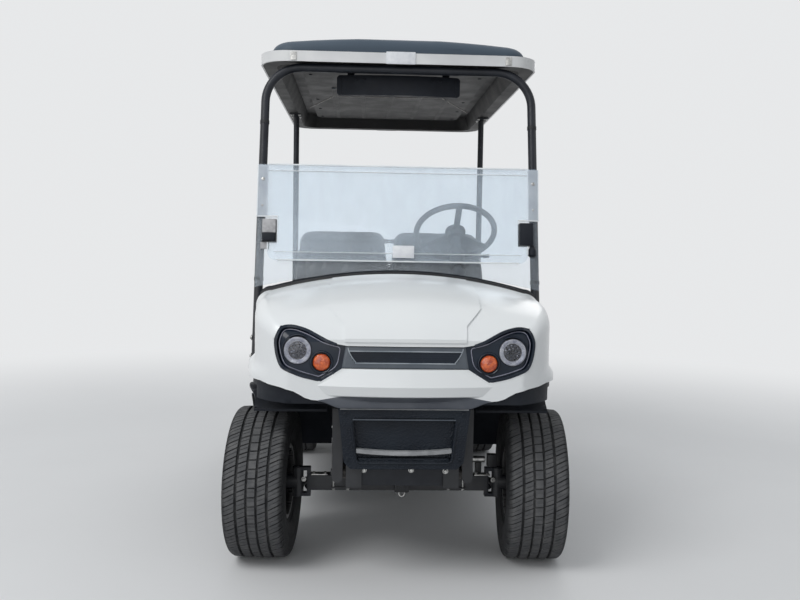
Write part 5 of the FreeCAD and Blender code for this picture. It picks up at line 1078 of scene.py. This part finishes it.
def padded_mesh(node, shape):
    """The node's solid as an even mesh, drawn in, grooved at its seams and blown up like a stuffed cover.

    shape(point, normal) gives the depth of the seam groove there and how firmly the cover is held.
    """
    mesh = nodes[node].data.copy()
    mesh.transform(nodes[node].matrix_world)
    item = new_object("pad_" + node, mesh)
    even = item.modifiers.new("even", "REMESH")
    even.mode = "VOXEL"
    even.voxel_size = VOXEL
    item.data = evaluated(item)
    item.modifiers.clear()
    work = bmesh.new()
    work.from_mesh(item.data)
    for _ in range(3):
        bmesh.ops.smooth_vert(work, verts=work.verts[:], factor=0.4, use_axis_x=True, use_axis_y=True, use_axis_z=True)
    work.normal_update()
    moves = []
    for vert in work.verts:
        depth, firm = shape(vert.co.copy(), vert.normal.copy())
        moves.append((vert.co - vert.normal * (PAD_SHRINK + depth), firm))
    for vert, (co, _) in zip(work.verts, moves):
        vert.co = co
    work.to_mesh(item.data)
    work.free()
    held = item.vertex_groups.new(name="held")
    for i, (_, firm) in enumerate(moves):
        held.add([i], min(1, firm), "REPLACE")
    blow_up(item, bpy.context.scene)
    soft = item.modifiers.new("soft", "SUBSURF")
    soft.levels = soft.render_levels = 1
    out = evaluated(item)
    bpy.data.objects.remove(item)
    return one_look(out, "seat_vinyl")


def add_pad(name, mesh, body, node, loops, seams):
    """A pad, and its welted edges and rows of stitches. Each line is (points outside the pad, way inwards)."""
    place(name, mesh, body, [node], 50)
    tree = BVHTree.FromPolygons([v.co for v in mesh.vertices], [tuple(p.vertices) for p in mesh.polygons])
    form = Form()

    def on_pad(points, way, lift, step, closed):
        path = []
        for p in spread_out(points, step, closed):
            direction = (way(p) if callable(way) else Vector(way)).normalized()
            hit = cast(tree, p, direction)[0]
            if hit:
                path.append((hit - direction * lift, direction))
        return path

    for points, way in loops:
        line = [p for p, _ in on_pad(points, way, 0.0012, 0.012, True)]
        for _ in range(2):
            line = [(line[i - 1] + line[i] * 2 + line[(i + 1) % len(line)]) / 4 for i in range(len(line))]
        form.tube(line, 0.0034, 8, closed=True, up=(0.31, 0.22, 0.92))
    for points, way, offset in seams:
        path = on_pad(points, way, 0.0006, 0.0085, False)
        for (a, way_in), (b, _) in zip(path, path[1:]):
            along = b - a
            if along.length > 0.03:
                continue
            side = along.cross(way_in).normalized() * offset
            turn = Matrix((along.normalized(), side.normalized(), -way_in)).transposed().to_4x4()
            form.block((0.0052, 0.0012, 0.0011), (a + b) / 2 + side, 0, turn, 1)
    form.finish(name + "_seams", "piping stitching", body, smooth=60)


def closed_line(points):
    return points + points[:1]


def make_bench(node, body, piece):
    """A bench cushion: three top panels between cross seams, a boxed border and a flat underside."""
    low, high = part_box(node)
    middle, half = (low + high) / 2, (high - low) / 2
    seam_x = (-0.165, 0.165)
    border = 0.052

    def shape(p, normal):
        top = clamp((normal.z - 0.15) / 0.4)
        inside_x, inside_y = half.x - abs(p.x - middle.x), half.y - abs(p.y - middle.y)
        depth, firm = 0.0, 0.0
        for x in seam_x:
            line = ridge(p.x - x, 0.011) * top
            depth = max(depth, 0.010 * line * clamp(inside_y / 0.05))
            firm = max(firm, line)
        rim = ridge(min(inside_x, inside_y) - border, 0.010) * top
        welt = ridge(p.z - (low.z + WELT_HEIGHT), 0.009) * (1 - abs(normal.z))
        if p.z < low.z + 0.012 and normal.z < -0.5:
            return 0.0, 1.0
        return max(depth, 0.006 * rim, 0.004 * welt), max(firm, rim, welt)

    mesh = padded_mesh(node, shape)
    for vert in mesh.vertices:
        vert.co.z = clamp(vert.co.z, low.z + 0.0006, high.z + 0.004)
    around = rounded([(-0.6, low.y - 0.1), (0.6, low.y - 0.1), (0.6, high.y + 0.1), (-0.6, high.y + 0.1)], 0.12, 8)

    def inwards(p):
        return Vector((clamp(p.x, -half.x + 0.09, half.x - 0.09) - p.x,
                       clamp(p.y, low.y + 0.09, high.y - 0.09) - p.y, 0))

    loops = [([(x, y, low.z + WELT_HEIGHT) for x, y in around], inwards)]
    over, down = high.z + 0.1, (0, 0, -1)
    seams = [([(x, low.y + 0.06, over), (x, high.y - 0.06, over)], down, offset)
             for x in seam_x for offset in (-0.006, 0.006)]
    x0, x1, y0, y1 = -half.x + border, half.x - border, low.y + border, high.y - border
    rim = closed_line(rounded([(x0, y0), (x1, y0), (x1, y1), (x0, y1)], 0.04, 6))
    seams.append(([(x, y, over) for x, y in rim], down, 0.006))
    add_pad(piece, mesh, body, node, loops, seams)


def make_benches():
    make_bench("front_seat_cushion", "front_seat", "front_bench_pad")
    make_bench("rear_seat_cushion", "rear_seat", "rear_bench_pad")


def make_seat_backs(node, piece, way, foot_y):
    """Two leaning back pads, each with a cross seam and a border. way is the side that they are sat against."""
    frames = {side: spot(side * 0.251, foot_y, 0.835, Matrix.Rotation(math.radians(8 * way), 4, "X"))
              for side in SIDES}
    back = {side: frames[side].inverted() for side in SIDES}
    half, tall, seam_z = 0.243, 0.400, 0.265
    outwards = frames[1].to_3x3() @ Vector((0, way, 0))

    def shape(p, normal):
        q = back[1 if p.x > 0 else -1] @ p
        front_face = clamp((normal.dot(outwards) - 0.15) / 0.4)
        taper = 0.026 * max(0.0, (q.z - 0.22) / 0.18)
        inside = min(half - taper - abs(q.x), q.z, tall - q.z)
        rim = ridge(inside - 0.050, 0.010) * front_face
        cross = ridge(q.z - seam_z, 0.011) * front_face * clamp(inside / 0.04)
        if normal.dot(outwards) < -0.75:
            return 0.0, 1.0
        return max(0.006 * rim, 0.010 * cross), max(rim, cross)

    mesh = padded_mesh(node, shape)
    loops, seams = [], []
    y = -0.1 if way < 0 else 0.18
    for side, at in frames.items():
        ring = rounded([(-0.36, -0.12), (0.36, -0.12), (0.33, 0.52), (-0.33, 0.52)], 0.16, 8)

        def inwards(p, side=side, at=at):
            q = back[side] @ p
            return at.to_3x3() @ Vector((clamp(q.x, -0.15, 0.15) - q.x, 0, clamp(q.z, 0.09, 0.31) - q.z))

        loops.append(([at @ Vector((x, 0.040, z)) for x, z in ring], inwards))
        cross = [at @ Vector((x, y, seam_z)) for x in (-0.185, 0.185)]
        seams += [(cross, -outwards, offset) for offset in (-0.006, 0.006)]
        rim = closed_line(rounded([(-0.193, 0.05), (0.193, 0.05), (0.193, 0.23), (0.170, 0.35), (-0.170, 0.35),
                                   (-0.193, 0.23)], 0.035))
        seams.append(([at @ Vector((x, y, z)) for x, z in rim], -outwards, 0.006))
    add_pad(piece, mesh, "chassis", node, loops, seams)


def make_backs():
    make_seat_backs("front_seat_backs", "front_back_pads", -1, 0.312)
    make_seat_backs("rear_seat_backs", "rear_back_pads", 1, 0.508)


# Running gear and underside

def make_front_hardware():
    """Plates, tabs and bolts on the front axle beam and the steering gear's damper."""
    form = Form()
    beam = -0.9875
    for x in (-0.294, 0.315):
        form.block((0.060, 0.034, 0.004), (x, -0.968, 0.3068), 0.001)
        for dx in (-0.021, 0.021):
            hexagon(form, spot(x + dx, -0.968, 0.3086, UPWARD), 0.0055, 0.005)
    form.block((0.052, 0.024, 0.032), (0.012, beam - 0.012, 0.286), 0.003, mark=1)
    hexagon(form, spot(0.012, beam - 0.024, 0.286, FORWARD), 0.0085)
    hexagon(form, spot(0.010, beam, 0.2585, FORWARD), 0.0062, 0.005)
    for x in (-0.150, 0.032, 0.152):
        form.block((0.030, 0.009, 0.044), (x, beam - 0.0005, 0.3265), 0.002, mark=1)
        hexagon(form, spot(x, beam - 0.0050, 0.334, FORWARD), 0.0058, 0.005)
    for x in (-0.352, 0.356):
        hexagon(form, spot(x, beam, 0.290, FORWARD), 0.006, 0.005)
    form.block((0.022, 0.030, 0.046), (0.304, -0.945, 0.3265), 0.002, mark=1)
    form.lathe([(0, 0), (0, 0.0105), (0.002, 0.0122), (0.048, 0.0122), (0.050, 0.0105), (0.050, 0)], 24,
               at=spot(0.279, -0.945, 0.3585))
    form.block((0.036, 0.030, 0.048), (0.353, -0.960, 0.3585), 0.003, mark=1)
    form.finish("front_axle_fittings", "zinc black_steel", slot="black_steel")


def make_underbody():
    """Spring clamps with their bolts, and the motor's fins and bolts."""
    form = Form()
    for axle_y, base in ((FRONT_Y, 0.334), (REAR_Y, 0.339)):
        for side in SIDES:
            x = side * 0.215
            for dy in (-0.030, 0.030):
                for dx in (-0.027, 0.027):
                    a, b = x + dx, axle_y + dy
                    form.tube([(a, b, base - 0.075), (a, b, base - 0.001)], 0.0042, 8, up=(0, 1, 0))
                    hexagon(form, spot(a, b, base - 0.076, DOWNWARD), 0.006)
            form.block((0.072, 0.078, 0.005), (x, axle_y, base - 0.0735), 0.001, mark=1)
    form.finish("spring_clamps", "zinc black_steel", slot="black_steel")
    low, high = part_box("drive_motor")
    cy, cz = (low.y + high.y) / 2, (low.z + high.z) / 2
    form = Form()
    for k in range(9):
        x = low.x + 0.040 + 0.014 * k
        form.lathe([(x, 0.0915), (x + 0.001, 0.0955), (x + 0.0035, 0.0955), (x + 0.0045, 0.0915)], 48,
                   at=spot(0, cy, cz))
    for a, b in circle(0.074, 6, 0.5):
        hexagon(form, spot(high.x, cy + a, cz + b), 0.0052, 0.0045, 1)
    form.finish("motor_fins", "cast_grey zinc")


def make_tow_bracket():
    """Bracket and ring on the front axle's middle, and the bolts above the axle."""
    tree = tree_of("frame", "front_axle", "front_bumper")
    form = Form()
    form.block((0.054, 0.034, 0.052), (0.011, -1.0205, 0.281), 0.004)
    form.block((0.030, 0.010, 0.030), (0.011, -1.0400, 0.287), 0.003)
    ring = [(0.011 + a, -1.030, 0.2505 + b) for a, b in circle(0.0105, 28)]
    form.tube(ring, 0.0034, 10, closed=True, up=VIEW_UP, mark=1)
    for x in (-0.131, 0.030, 0.1457):
        for z in (0.399, 0.378, 0.3355, 0.322):
            hit, way = cast(tree, (x, -OUTSIDE, z), (0, 1, 0))
            if hit and way.y < -0.8:
                hexagon(form, Matrix.Translation(hit) @ FORWARD, 0.0065, 0.007, 1)
                break
    form.finish("tow_bracket", "black_steel zinc")


def make_battery_details():
    """Case lid with its lip, handles, terminals and vent caps of the battery pack."""
    low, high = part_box("battery_pack")
    form = Form()
    mid = (low + high) / 2
    size = high - low
    form.block((size.x + 0.010, size.y + 0.010, 0.016), (mid.x, mid.y, high.z - 0.012), 0.003)
    for side in SIDES:
        form.block((0.018, 0.16, 0.014), (mid.x + side * (size.x / 2 + 0.008), mid.y, high.z - 0.070), 0.004)
        for k in range(5):
            form.block((0.005, 0.010, 0.145),
                       (mid.x + side * (size.x / 2 + 0.0012), low.y + 0.04 + 0.07 * k, mid.z - 0.02), 0.0015)
    terminal = [(0, 0), (0, 0.016), (0.006, 0.015), (0.010, 0.009), (0.0135, 0.008), (0.0135, 0)]
    vent = [(0, 0), (0, 0.0085), (0.002, 0.008), (0.003, 0.004), (0.002, 0.0035), (0.002, 0)]
    tops = [(-0.10, 0.055, terminal, 20, 2), (0.10, 0.055, terminal, 20, 3)]
    tops += [(x, y, vent, 16, 1) for x in (-0.2, -0.07, 0.07, 0.2) for y in (0.06, 0.3)]
    for x, y, profile, steps, mark in tops:
        form.lathe(profile, steps, mark, spot(mid.x + x, low.y + y, high.z - 0.004, UPWARD))
    form.finish("battery_fittings", "black_plastic zinc wheel_grip red_lens")


# Cabin

WHEEL_CENTRE = Vector((0.268, -0.328, 1.228))
WHEEL_WAY = Vector((0, math.cos(math.radians(50)), math.sin(math.radians(50))))
GRIP_RING, GRIP_RADIUS = 0.174, 0.0126


def along_wheel(point):
    """A frame at a point of the steering shaft, its X axis along the shaft."""
    return Matrix.Translation(point) @ WHEEL_WAY.to_track_quat("X", "Z").to_matrix().to_4x4()


def make_steering_parts():
    """Hub pad and sewn grip of the steering wheel, the column's shroud and its lever."""
    at = along_wheel(WHEEL_CENTRE)
    form = Form()
    form.lathe([(-0.006, 0.036), (-0.004, 0.043), (0.002, 0.046), (0.010, 0.0445), (0.016, 0.038), (0.0185, 0.024),
                (0.0192, 0.0)], at=at)
    form.lathe([(0.0188, 0.0215), (0.0205, 0.0205), (0.0205, 0.0185), (0.0188, 0.0175)], 36, at=at, mark=1)
    rows = []
    for i, (c, s) in enumerate(circle(1, 150)):
        row = []
        for b, d in circle(1, 14):
            finger = 0.0011 * max(0.0, -b) * (1 + math.cos(TAU * i / 150 * 30)) / 2
            r = GRIP_RADIUS + finger - (0.0 if i % 5 else 0.0006)
            row.append((r * d, (GRIP_RING + r * b) * c, (GRIP_RING + r * b) * s))
        rows.append(row)
    form.grid(rows, around=True, across=True, at=at, flip=True)
    form.finish("wheel_grip_cover", "wheel_grip slate_gloss", "hand_wheel")
    form = Form()
    foot = WHEEL_CENTRE - WHEEL_WAY * 0.150
    form.lathe([(-0.05, 0.020), (-0.05, 0.030), (-0.046, 0.034), (0.030, 0.0335), (0.036, 0.031), (0.036, 0.020)], 32,
               at=along_wheel(foot))
    form.tube([foot + Vector(p) for p in ((0.03, 0.0, 0), (0.075, 0.012, 0.008), (0.120, 0.020, 0.012))], 0.0052, 10)
    form.tube([foot + Vector(p) for p in ((0.118, 0.0195, 0.0118), (0.142, 0.0235, 0.0142))], 0.0085)
    form.finish("column_shroud", "wheel_grip")


def make_dash_parts():
    """Round gauge, key switch, selector and screws on the dash's rear face, with mats in its pockets."""
    tree = tree_of("dashboard")
    form = Form()

    def on_dash(x, z):
        return spot(x, cast(tree, (x, 0.4, z), (0, -1, 0))[0].y, z, BACKWARD)

    def hand(at, degrees, x, foot, head, low, high, mark):
        turn = at @ Matrix.Rotation(math.radians(degrees), 4, "X")
        points = [(x, -foot, low), (x, foot, low), (x, head, high), (x, -head, high)]
        form.add([turn @ Vector(p) for p in points], [(0, 1, 2, 3)], mark)

    for x, z, r, kind in ((0.268, 0.985, 0.036, "gauge"), (0.395, 0.905, 0.012, "key"), (0.395, 0.845, 0.014, "dial")):
        at = on_dash(x, z)
        form.lathe([(-0.001, r + 0.006), (0.003, r + 0.0055), (0.005, r + 0.003), (0.004, r), (0.0015, r - 0.0015)],
                   44, 2, at)
        form.lathe([(0.0014, r - 0.001), (0.0014, 0.0)], 44, 1, at)
        if kind == "gauge":
            for k in range(11):
                hand(at, -120 + 24 * k, 0.0018, 0.0008, 0.0008, 0.026, 0.032, 2)
            hand(at, -70, 0.0022, 0.0016, 0.0004, -0.004, 0.024, 3)
        else:
            form.lathe([(0.001, r * 0.55), (0.008, r * 0.5), (0.010, r * 0.3), (0.010, 0)], 20, 2, at)
            form.block((0.010, 0.0035, r * 1.3), at @ Vector((0.013, 0, 0)), 0.001, BACKWARD, 2 if kind == "key" else 0)
    for x in (0.470, -0.510):
        for z in (0.79, 0.90):
            form.lathe([(0, 0.0065), (0.0018, 0.006), (0.0026, 0.003), (0.0018, 0.0025), (0.0018, 0)], 14,
                       at=on_dash(x, z))
    for x, wide in ((-0.300, 0.290), (0.0, 0.140)):
        form.block((wide, 0.105, 0.004), (x, -0.655, 0.7965), 0.001, mark=4)
    form.finish("dash_instruments", "black_plastic projector lamp_ring red_lens floor_mat")


def make_floor_mat():
    """Ribbed rubber mat on the floor with its sides, and ribs on the pedals."""
    tree = tree_of("floor_pan")
    form = Form()
    lift, rib, count = 0.003, 0.0018, 120
    rows = []
    for y in evenly(-0.190, -0.560, 30):
        z = top_at(tree, 0.0, y)
        rows.append([((2 * i / count - 1) * 0.492, y, z + lift + (rib if i % 4 in (1, 2) and 4 < i < 116 else 0.0))
                     for i in range(count + 1)])
    form.grid(rows)
    near, far = ([(x, y, z - lift) for x, y, z in row] for row in (rows[0], rows[-1]))
    form.grid([near, rows[0]]).grid([rows[-1], far])
    for i in (0, count):
        side = [row[i] for row in rows]
        form.grid([side, [(x, y, z - lift) for x, y, z in side]], flip=bool(i))
    form.finish("floor_rubber", "floor_mat")
    form = Form()
    pedal = tree_of("pedals")
    for x, wide, count, low, step in ((0.193, 0.078, 7, 0.556, 0.0125), (0.343, 0.044, 11, 0.549, 0.0095)):
        for k in range(count):
            hit, way = cast(pedal, (x, 0.2, low + step * k), (0, -1, 0))
            if hit and way.y >= 0.3:
                form.block((wide, 0.006, 0.0036), hit + way * 0.0012, 0.001,
                           way.to_track_quat("Z", "Y").to_matrix().to_4x4())
    form.finish("pedal_ribs", "wheel_grip")


# Rear body, seat frame and footplate

def make_tail_lamp_bezels():
    form = Form()
    for side in SIDES:
        at = spot(side * 0.546, 1.0003, 0.610, BACKWARD)
        form.lathe([(0.0, 0.038), (0.0, 0.0432), (0.006, 0.0425), (0.0095, 0.0395), (0.0095, 0.0375)], at=at)
        for r in (0.033, 0.022, 0.011):
            form.lathe([(0.0158, r + 0.0022), (0.0172, r), (0.0158, r - 0.0022)], 40, 1, at)
    form.finish("tail_lamp_bezels", "black_plastic red_lens")


def make_body_fasteners():
    """Push-in fasteners on the rear body's flanks, and the seam line of its service panels."""
    tree = tree_of("rear_body")
    plug = [(-0.001, 0.009), (0.0018, 0.0084), (0.0028, 0.006), (0.003, 0.0028), (0.0016, 0.0024), (0.0016, 0)]
    form = Form()
    for side in SIDES:
        for y in (-0.12, 0.08, 0.28, 0.95):
            hit, way = cast(tree, (side * OUTSIDE, y, 0.665), (-side, 0, 0))
            if hit:
                form.lathe(plug, 18, at=Matrix.Translation(hit) @ way.to_track_quat("X", "Z").to_matrix().to_4x4())
        hits = [cast(tree, (side * OUTSIDE, y, 0.600), (-side, 0, 0))[0] for y in evenly(-0.165, 0.285, 39)]
        line = [hit + Vector((side * 0.0002, 0, 0)) for hit in hits if hit]
        form.sweep(line, bar(0.0016, -0.001, 0.0012, 0.0012), up=(side, 0, 0))
    form.finish("body_fasteners", "black_plastic")


def make_footplate_tread():
    """Raised lozenges of the footplate's tread, and the bolts along its front edge."""
    form = Form()
    top = top_at(tree_of("footplate"), 0.3, 1.25)
    for i in range(-19, 20):
        for j in range(9):
            x, y = i * 0.026, 1.125 + j * 0.029
            if abs(abs(x) - 0.19) < 0.03 and y > 1.31:
                continue
            way = math.radians(45 if (i + j) % 2 else -45)
            c, s = math.cos(way), math.sin(way)
            ring = [(0.0095 * c, 0.0095 * s), (-0.0022 * s, 0.0022 * c), (-0.0095 * c, -0.0095 * s),
                    (0.0022 * s, -0.0022 * c)]
            form.add([(x + a, y + b, top - 0.0002) for a, b in ring]
                     + [(x + a * 0.6, y + b * 0.5, top + 0.0014) for a, b in ring],
                     [(0, 1, 5, 4), (1, 2, 6, 5), (2, 3, 7, 6), (3, 0, 4, 7), (4, 5, 6, 7)])
    for x in (-0.48, -0.24, 0.0, 0.24, 0.48):
        hexagon(form, spot(x, 1.090, top + 0.024, FORWARD), 0.007, 0.005, 1)
    form.finish("footplate_tread", "deck_plate zinc", smooth=20)


def make_post_bolts():
    """Bolts of the rear posts' feet and heads."""
    form = Form()
    for side in SIDES:
        for dx in (-0.023, 0.023):
            for dy in (-0.034, 0.034):
                hexagon(form, spot(side * 0.532 + dx, 0.820 + dy, 0.6985, UPWARD), 0.0058, 0.005)
        for dy in (-0.038, 0.038):
            for dx in (0.022, -0.022):
                hexagon(form, spot(side * 0.536 + dx, 0.820 + dy, 1.9055, DOWNWARD), 0.0055, 0.005)
    form.finish("post_bolts", "zinc")


# Studio

BACKDROP = (0.80, 0.81, 0.82, 1)
FLOOR_REACH = 60
FADE_FROM, FADE_TO = 2.2, 6.0


def area_light(name, at, towards, size, power):
    data = bpy.data.lights.new(name, "AREA")
    data.shape, data.size, data.energy = "SQUARE", size, power
    item = new_object(name, data)
    item.location = at
    item.rotation_euler = (Vector(towards) - Vector(at)).to_track_quat("-Z", "Y").to_euler()


def seen_by_eye(tree):
    """1 for rays that only look, so that the backdrop's tone puts no light on the object."""
    paths = tree.nodes.new("ShaderNodeLightPath")
    out = paths.outputs["Is Camera Ray"]
    for other in ("Is Transmission Ray", "Is Glossy Ray"):
        both = tree.nodes.new("ShaderNodeMath")
        both.operation = "MAXIMUM"
        tree.links.new(out, both.inputs[0])
        tree.links.new(paths.outputs[other], both.inputs[1])
        out = both.outputs[0]
    return out


def add_floor():
    """Pale floor that fades into the backdrop's tone away from the cart."""
    mesh = bpy.data.meshes.new("floor")
    mesh.from_pydata([(x * FLOOR_REACH, y * FLOOR_REACH, 0) for x, y in ((-1, -1), (1, -1), (1, 1), (-1, 1))], [],
                     [(0, 1, 2, 3)])
    look = Look("studio_floor", (0.74, 0.745, 0.75), Roughness=0.85)
    eye = seen_by_eye(look.tree)
    pale = look.mix(look.spread(look.noise(0.8), 0.35, 0.65), (0.73, 0.735, 0.74), (0.75, 0.755, 0.76))
    look.feed(look.shader.inputs["Base Color"], look.mix(eye, (0.30, 0.30, 0.31), pale))
    away = look.node("ShaderNodeVectorMath", {"operation": "LENGTH"}, Vector=look.place).outputs["Value"]
    fade = look.node("ShaderNodeMapRange", {"interpolation_type": "SMOOTHSTEP"}, Value=away,
                     From_Min=FADE_FROM, From_Max=FADE_TO).outputs[0]
    glow = look.node("ShaderNodeEmission", Color=BACKDROP).outputs[0]
    both = look.node("ShaderNodeMixShader")
    for socket, value in zip(both.inputs, (look.math("MULTIPLY", fade, eye), look.shader.outputs[0], glow)):
        look.feed(socket, value)
    look.feed(look.tree.nodes["Material Output"].inputs["Surface"], both.outputs[0])
    mesh.materials.append(look.material)
    new_object("floor", mesh)


def add_world():
    world = bpy.data.worlds.new("studio")
    bpy.context.scene.world = world
    world.use_nodes = True
    tree = world.node_tree
    tree.nodes.clear()
    light, plain = (tree.nodes.new("ShaderNodeBackground") for _ in range(2))
    light.inputs["Color"].default_value = (0.94, 0.97, 1.0, 1)
    light.inputs["Strength"].default_value = 0.5
    plain.inputs["Color"].default_value = BACKDROP
    either = tree.nodes.new("ShaderNodeMixShader")
    for socket, value in zip(either.inputs, (seen_by_eye(tree), light.outputs[0], plain.outputs[0])):
        tree.links.new(value, socket)
    tree.links.new(either.outputs[0], tree.nodes.new("ShaderNodeOutputWorld").inputs[0])


for make in (make_wheels, make_lamp_pods, make_grille, make_headlamps, make_turn_lamps, make_seal, make_bumper_trim,
             make_screen_trim, make_hoop_fittings, make_roof_fittings, make_ceiling, make_mirror_detail,
             make_cowl_skin, make_arch_liners, make_nose_shade_sheet, make_benches, make_backs, make_front_hardware,
             make_underbody, make_tow_bracket, make_battery_details, make_steering_parts, make_dash_parts,
             make_floor_mat, make_tail_lamp_bezels, make_body_fasteners, make_footplate_tread, make_post_bolts,
             add_camera, add_floor, add_world):
    make()
area_light("key", (-4.3, -4.9, 6.5), (0, -0.5, 0.8), 4, 300)
area_light("fill", (-1.8, -7.5, 1.8), (0, 0, 0.8), 4, 70)
area_light("back", (1.5, 6.0, 5.5), (0, 0, 1.0), 5, 110)
bpy.context.scene.view_settings.view_transform = "Standard"
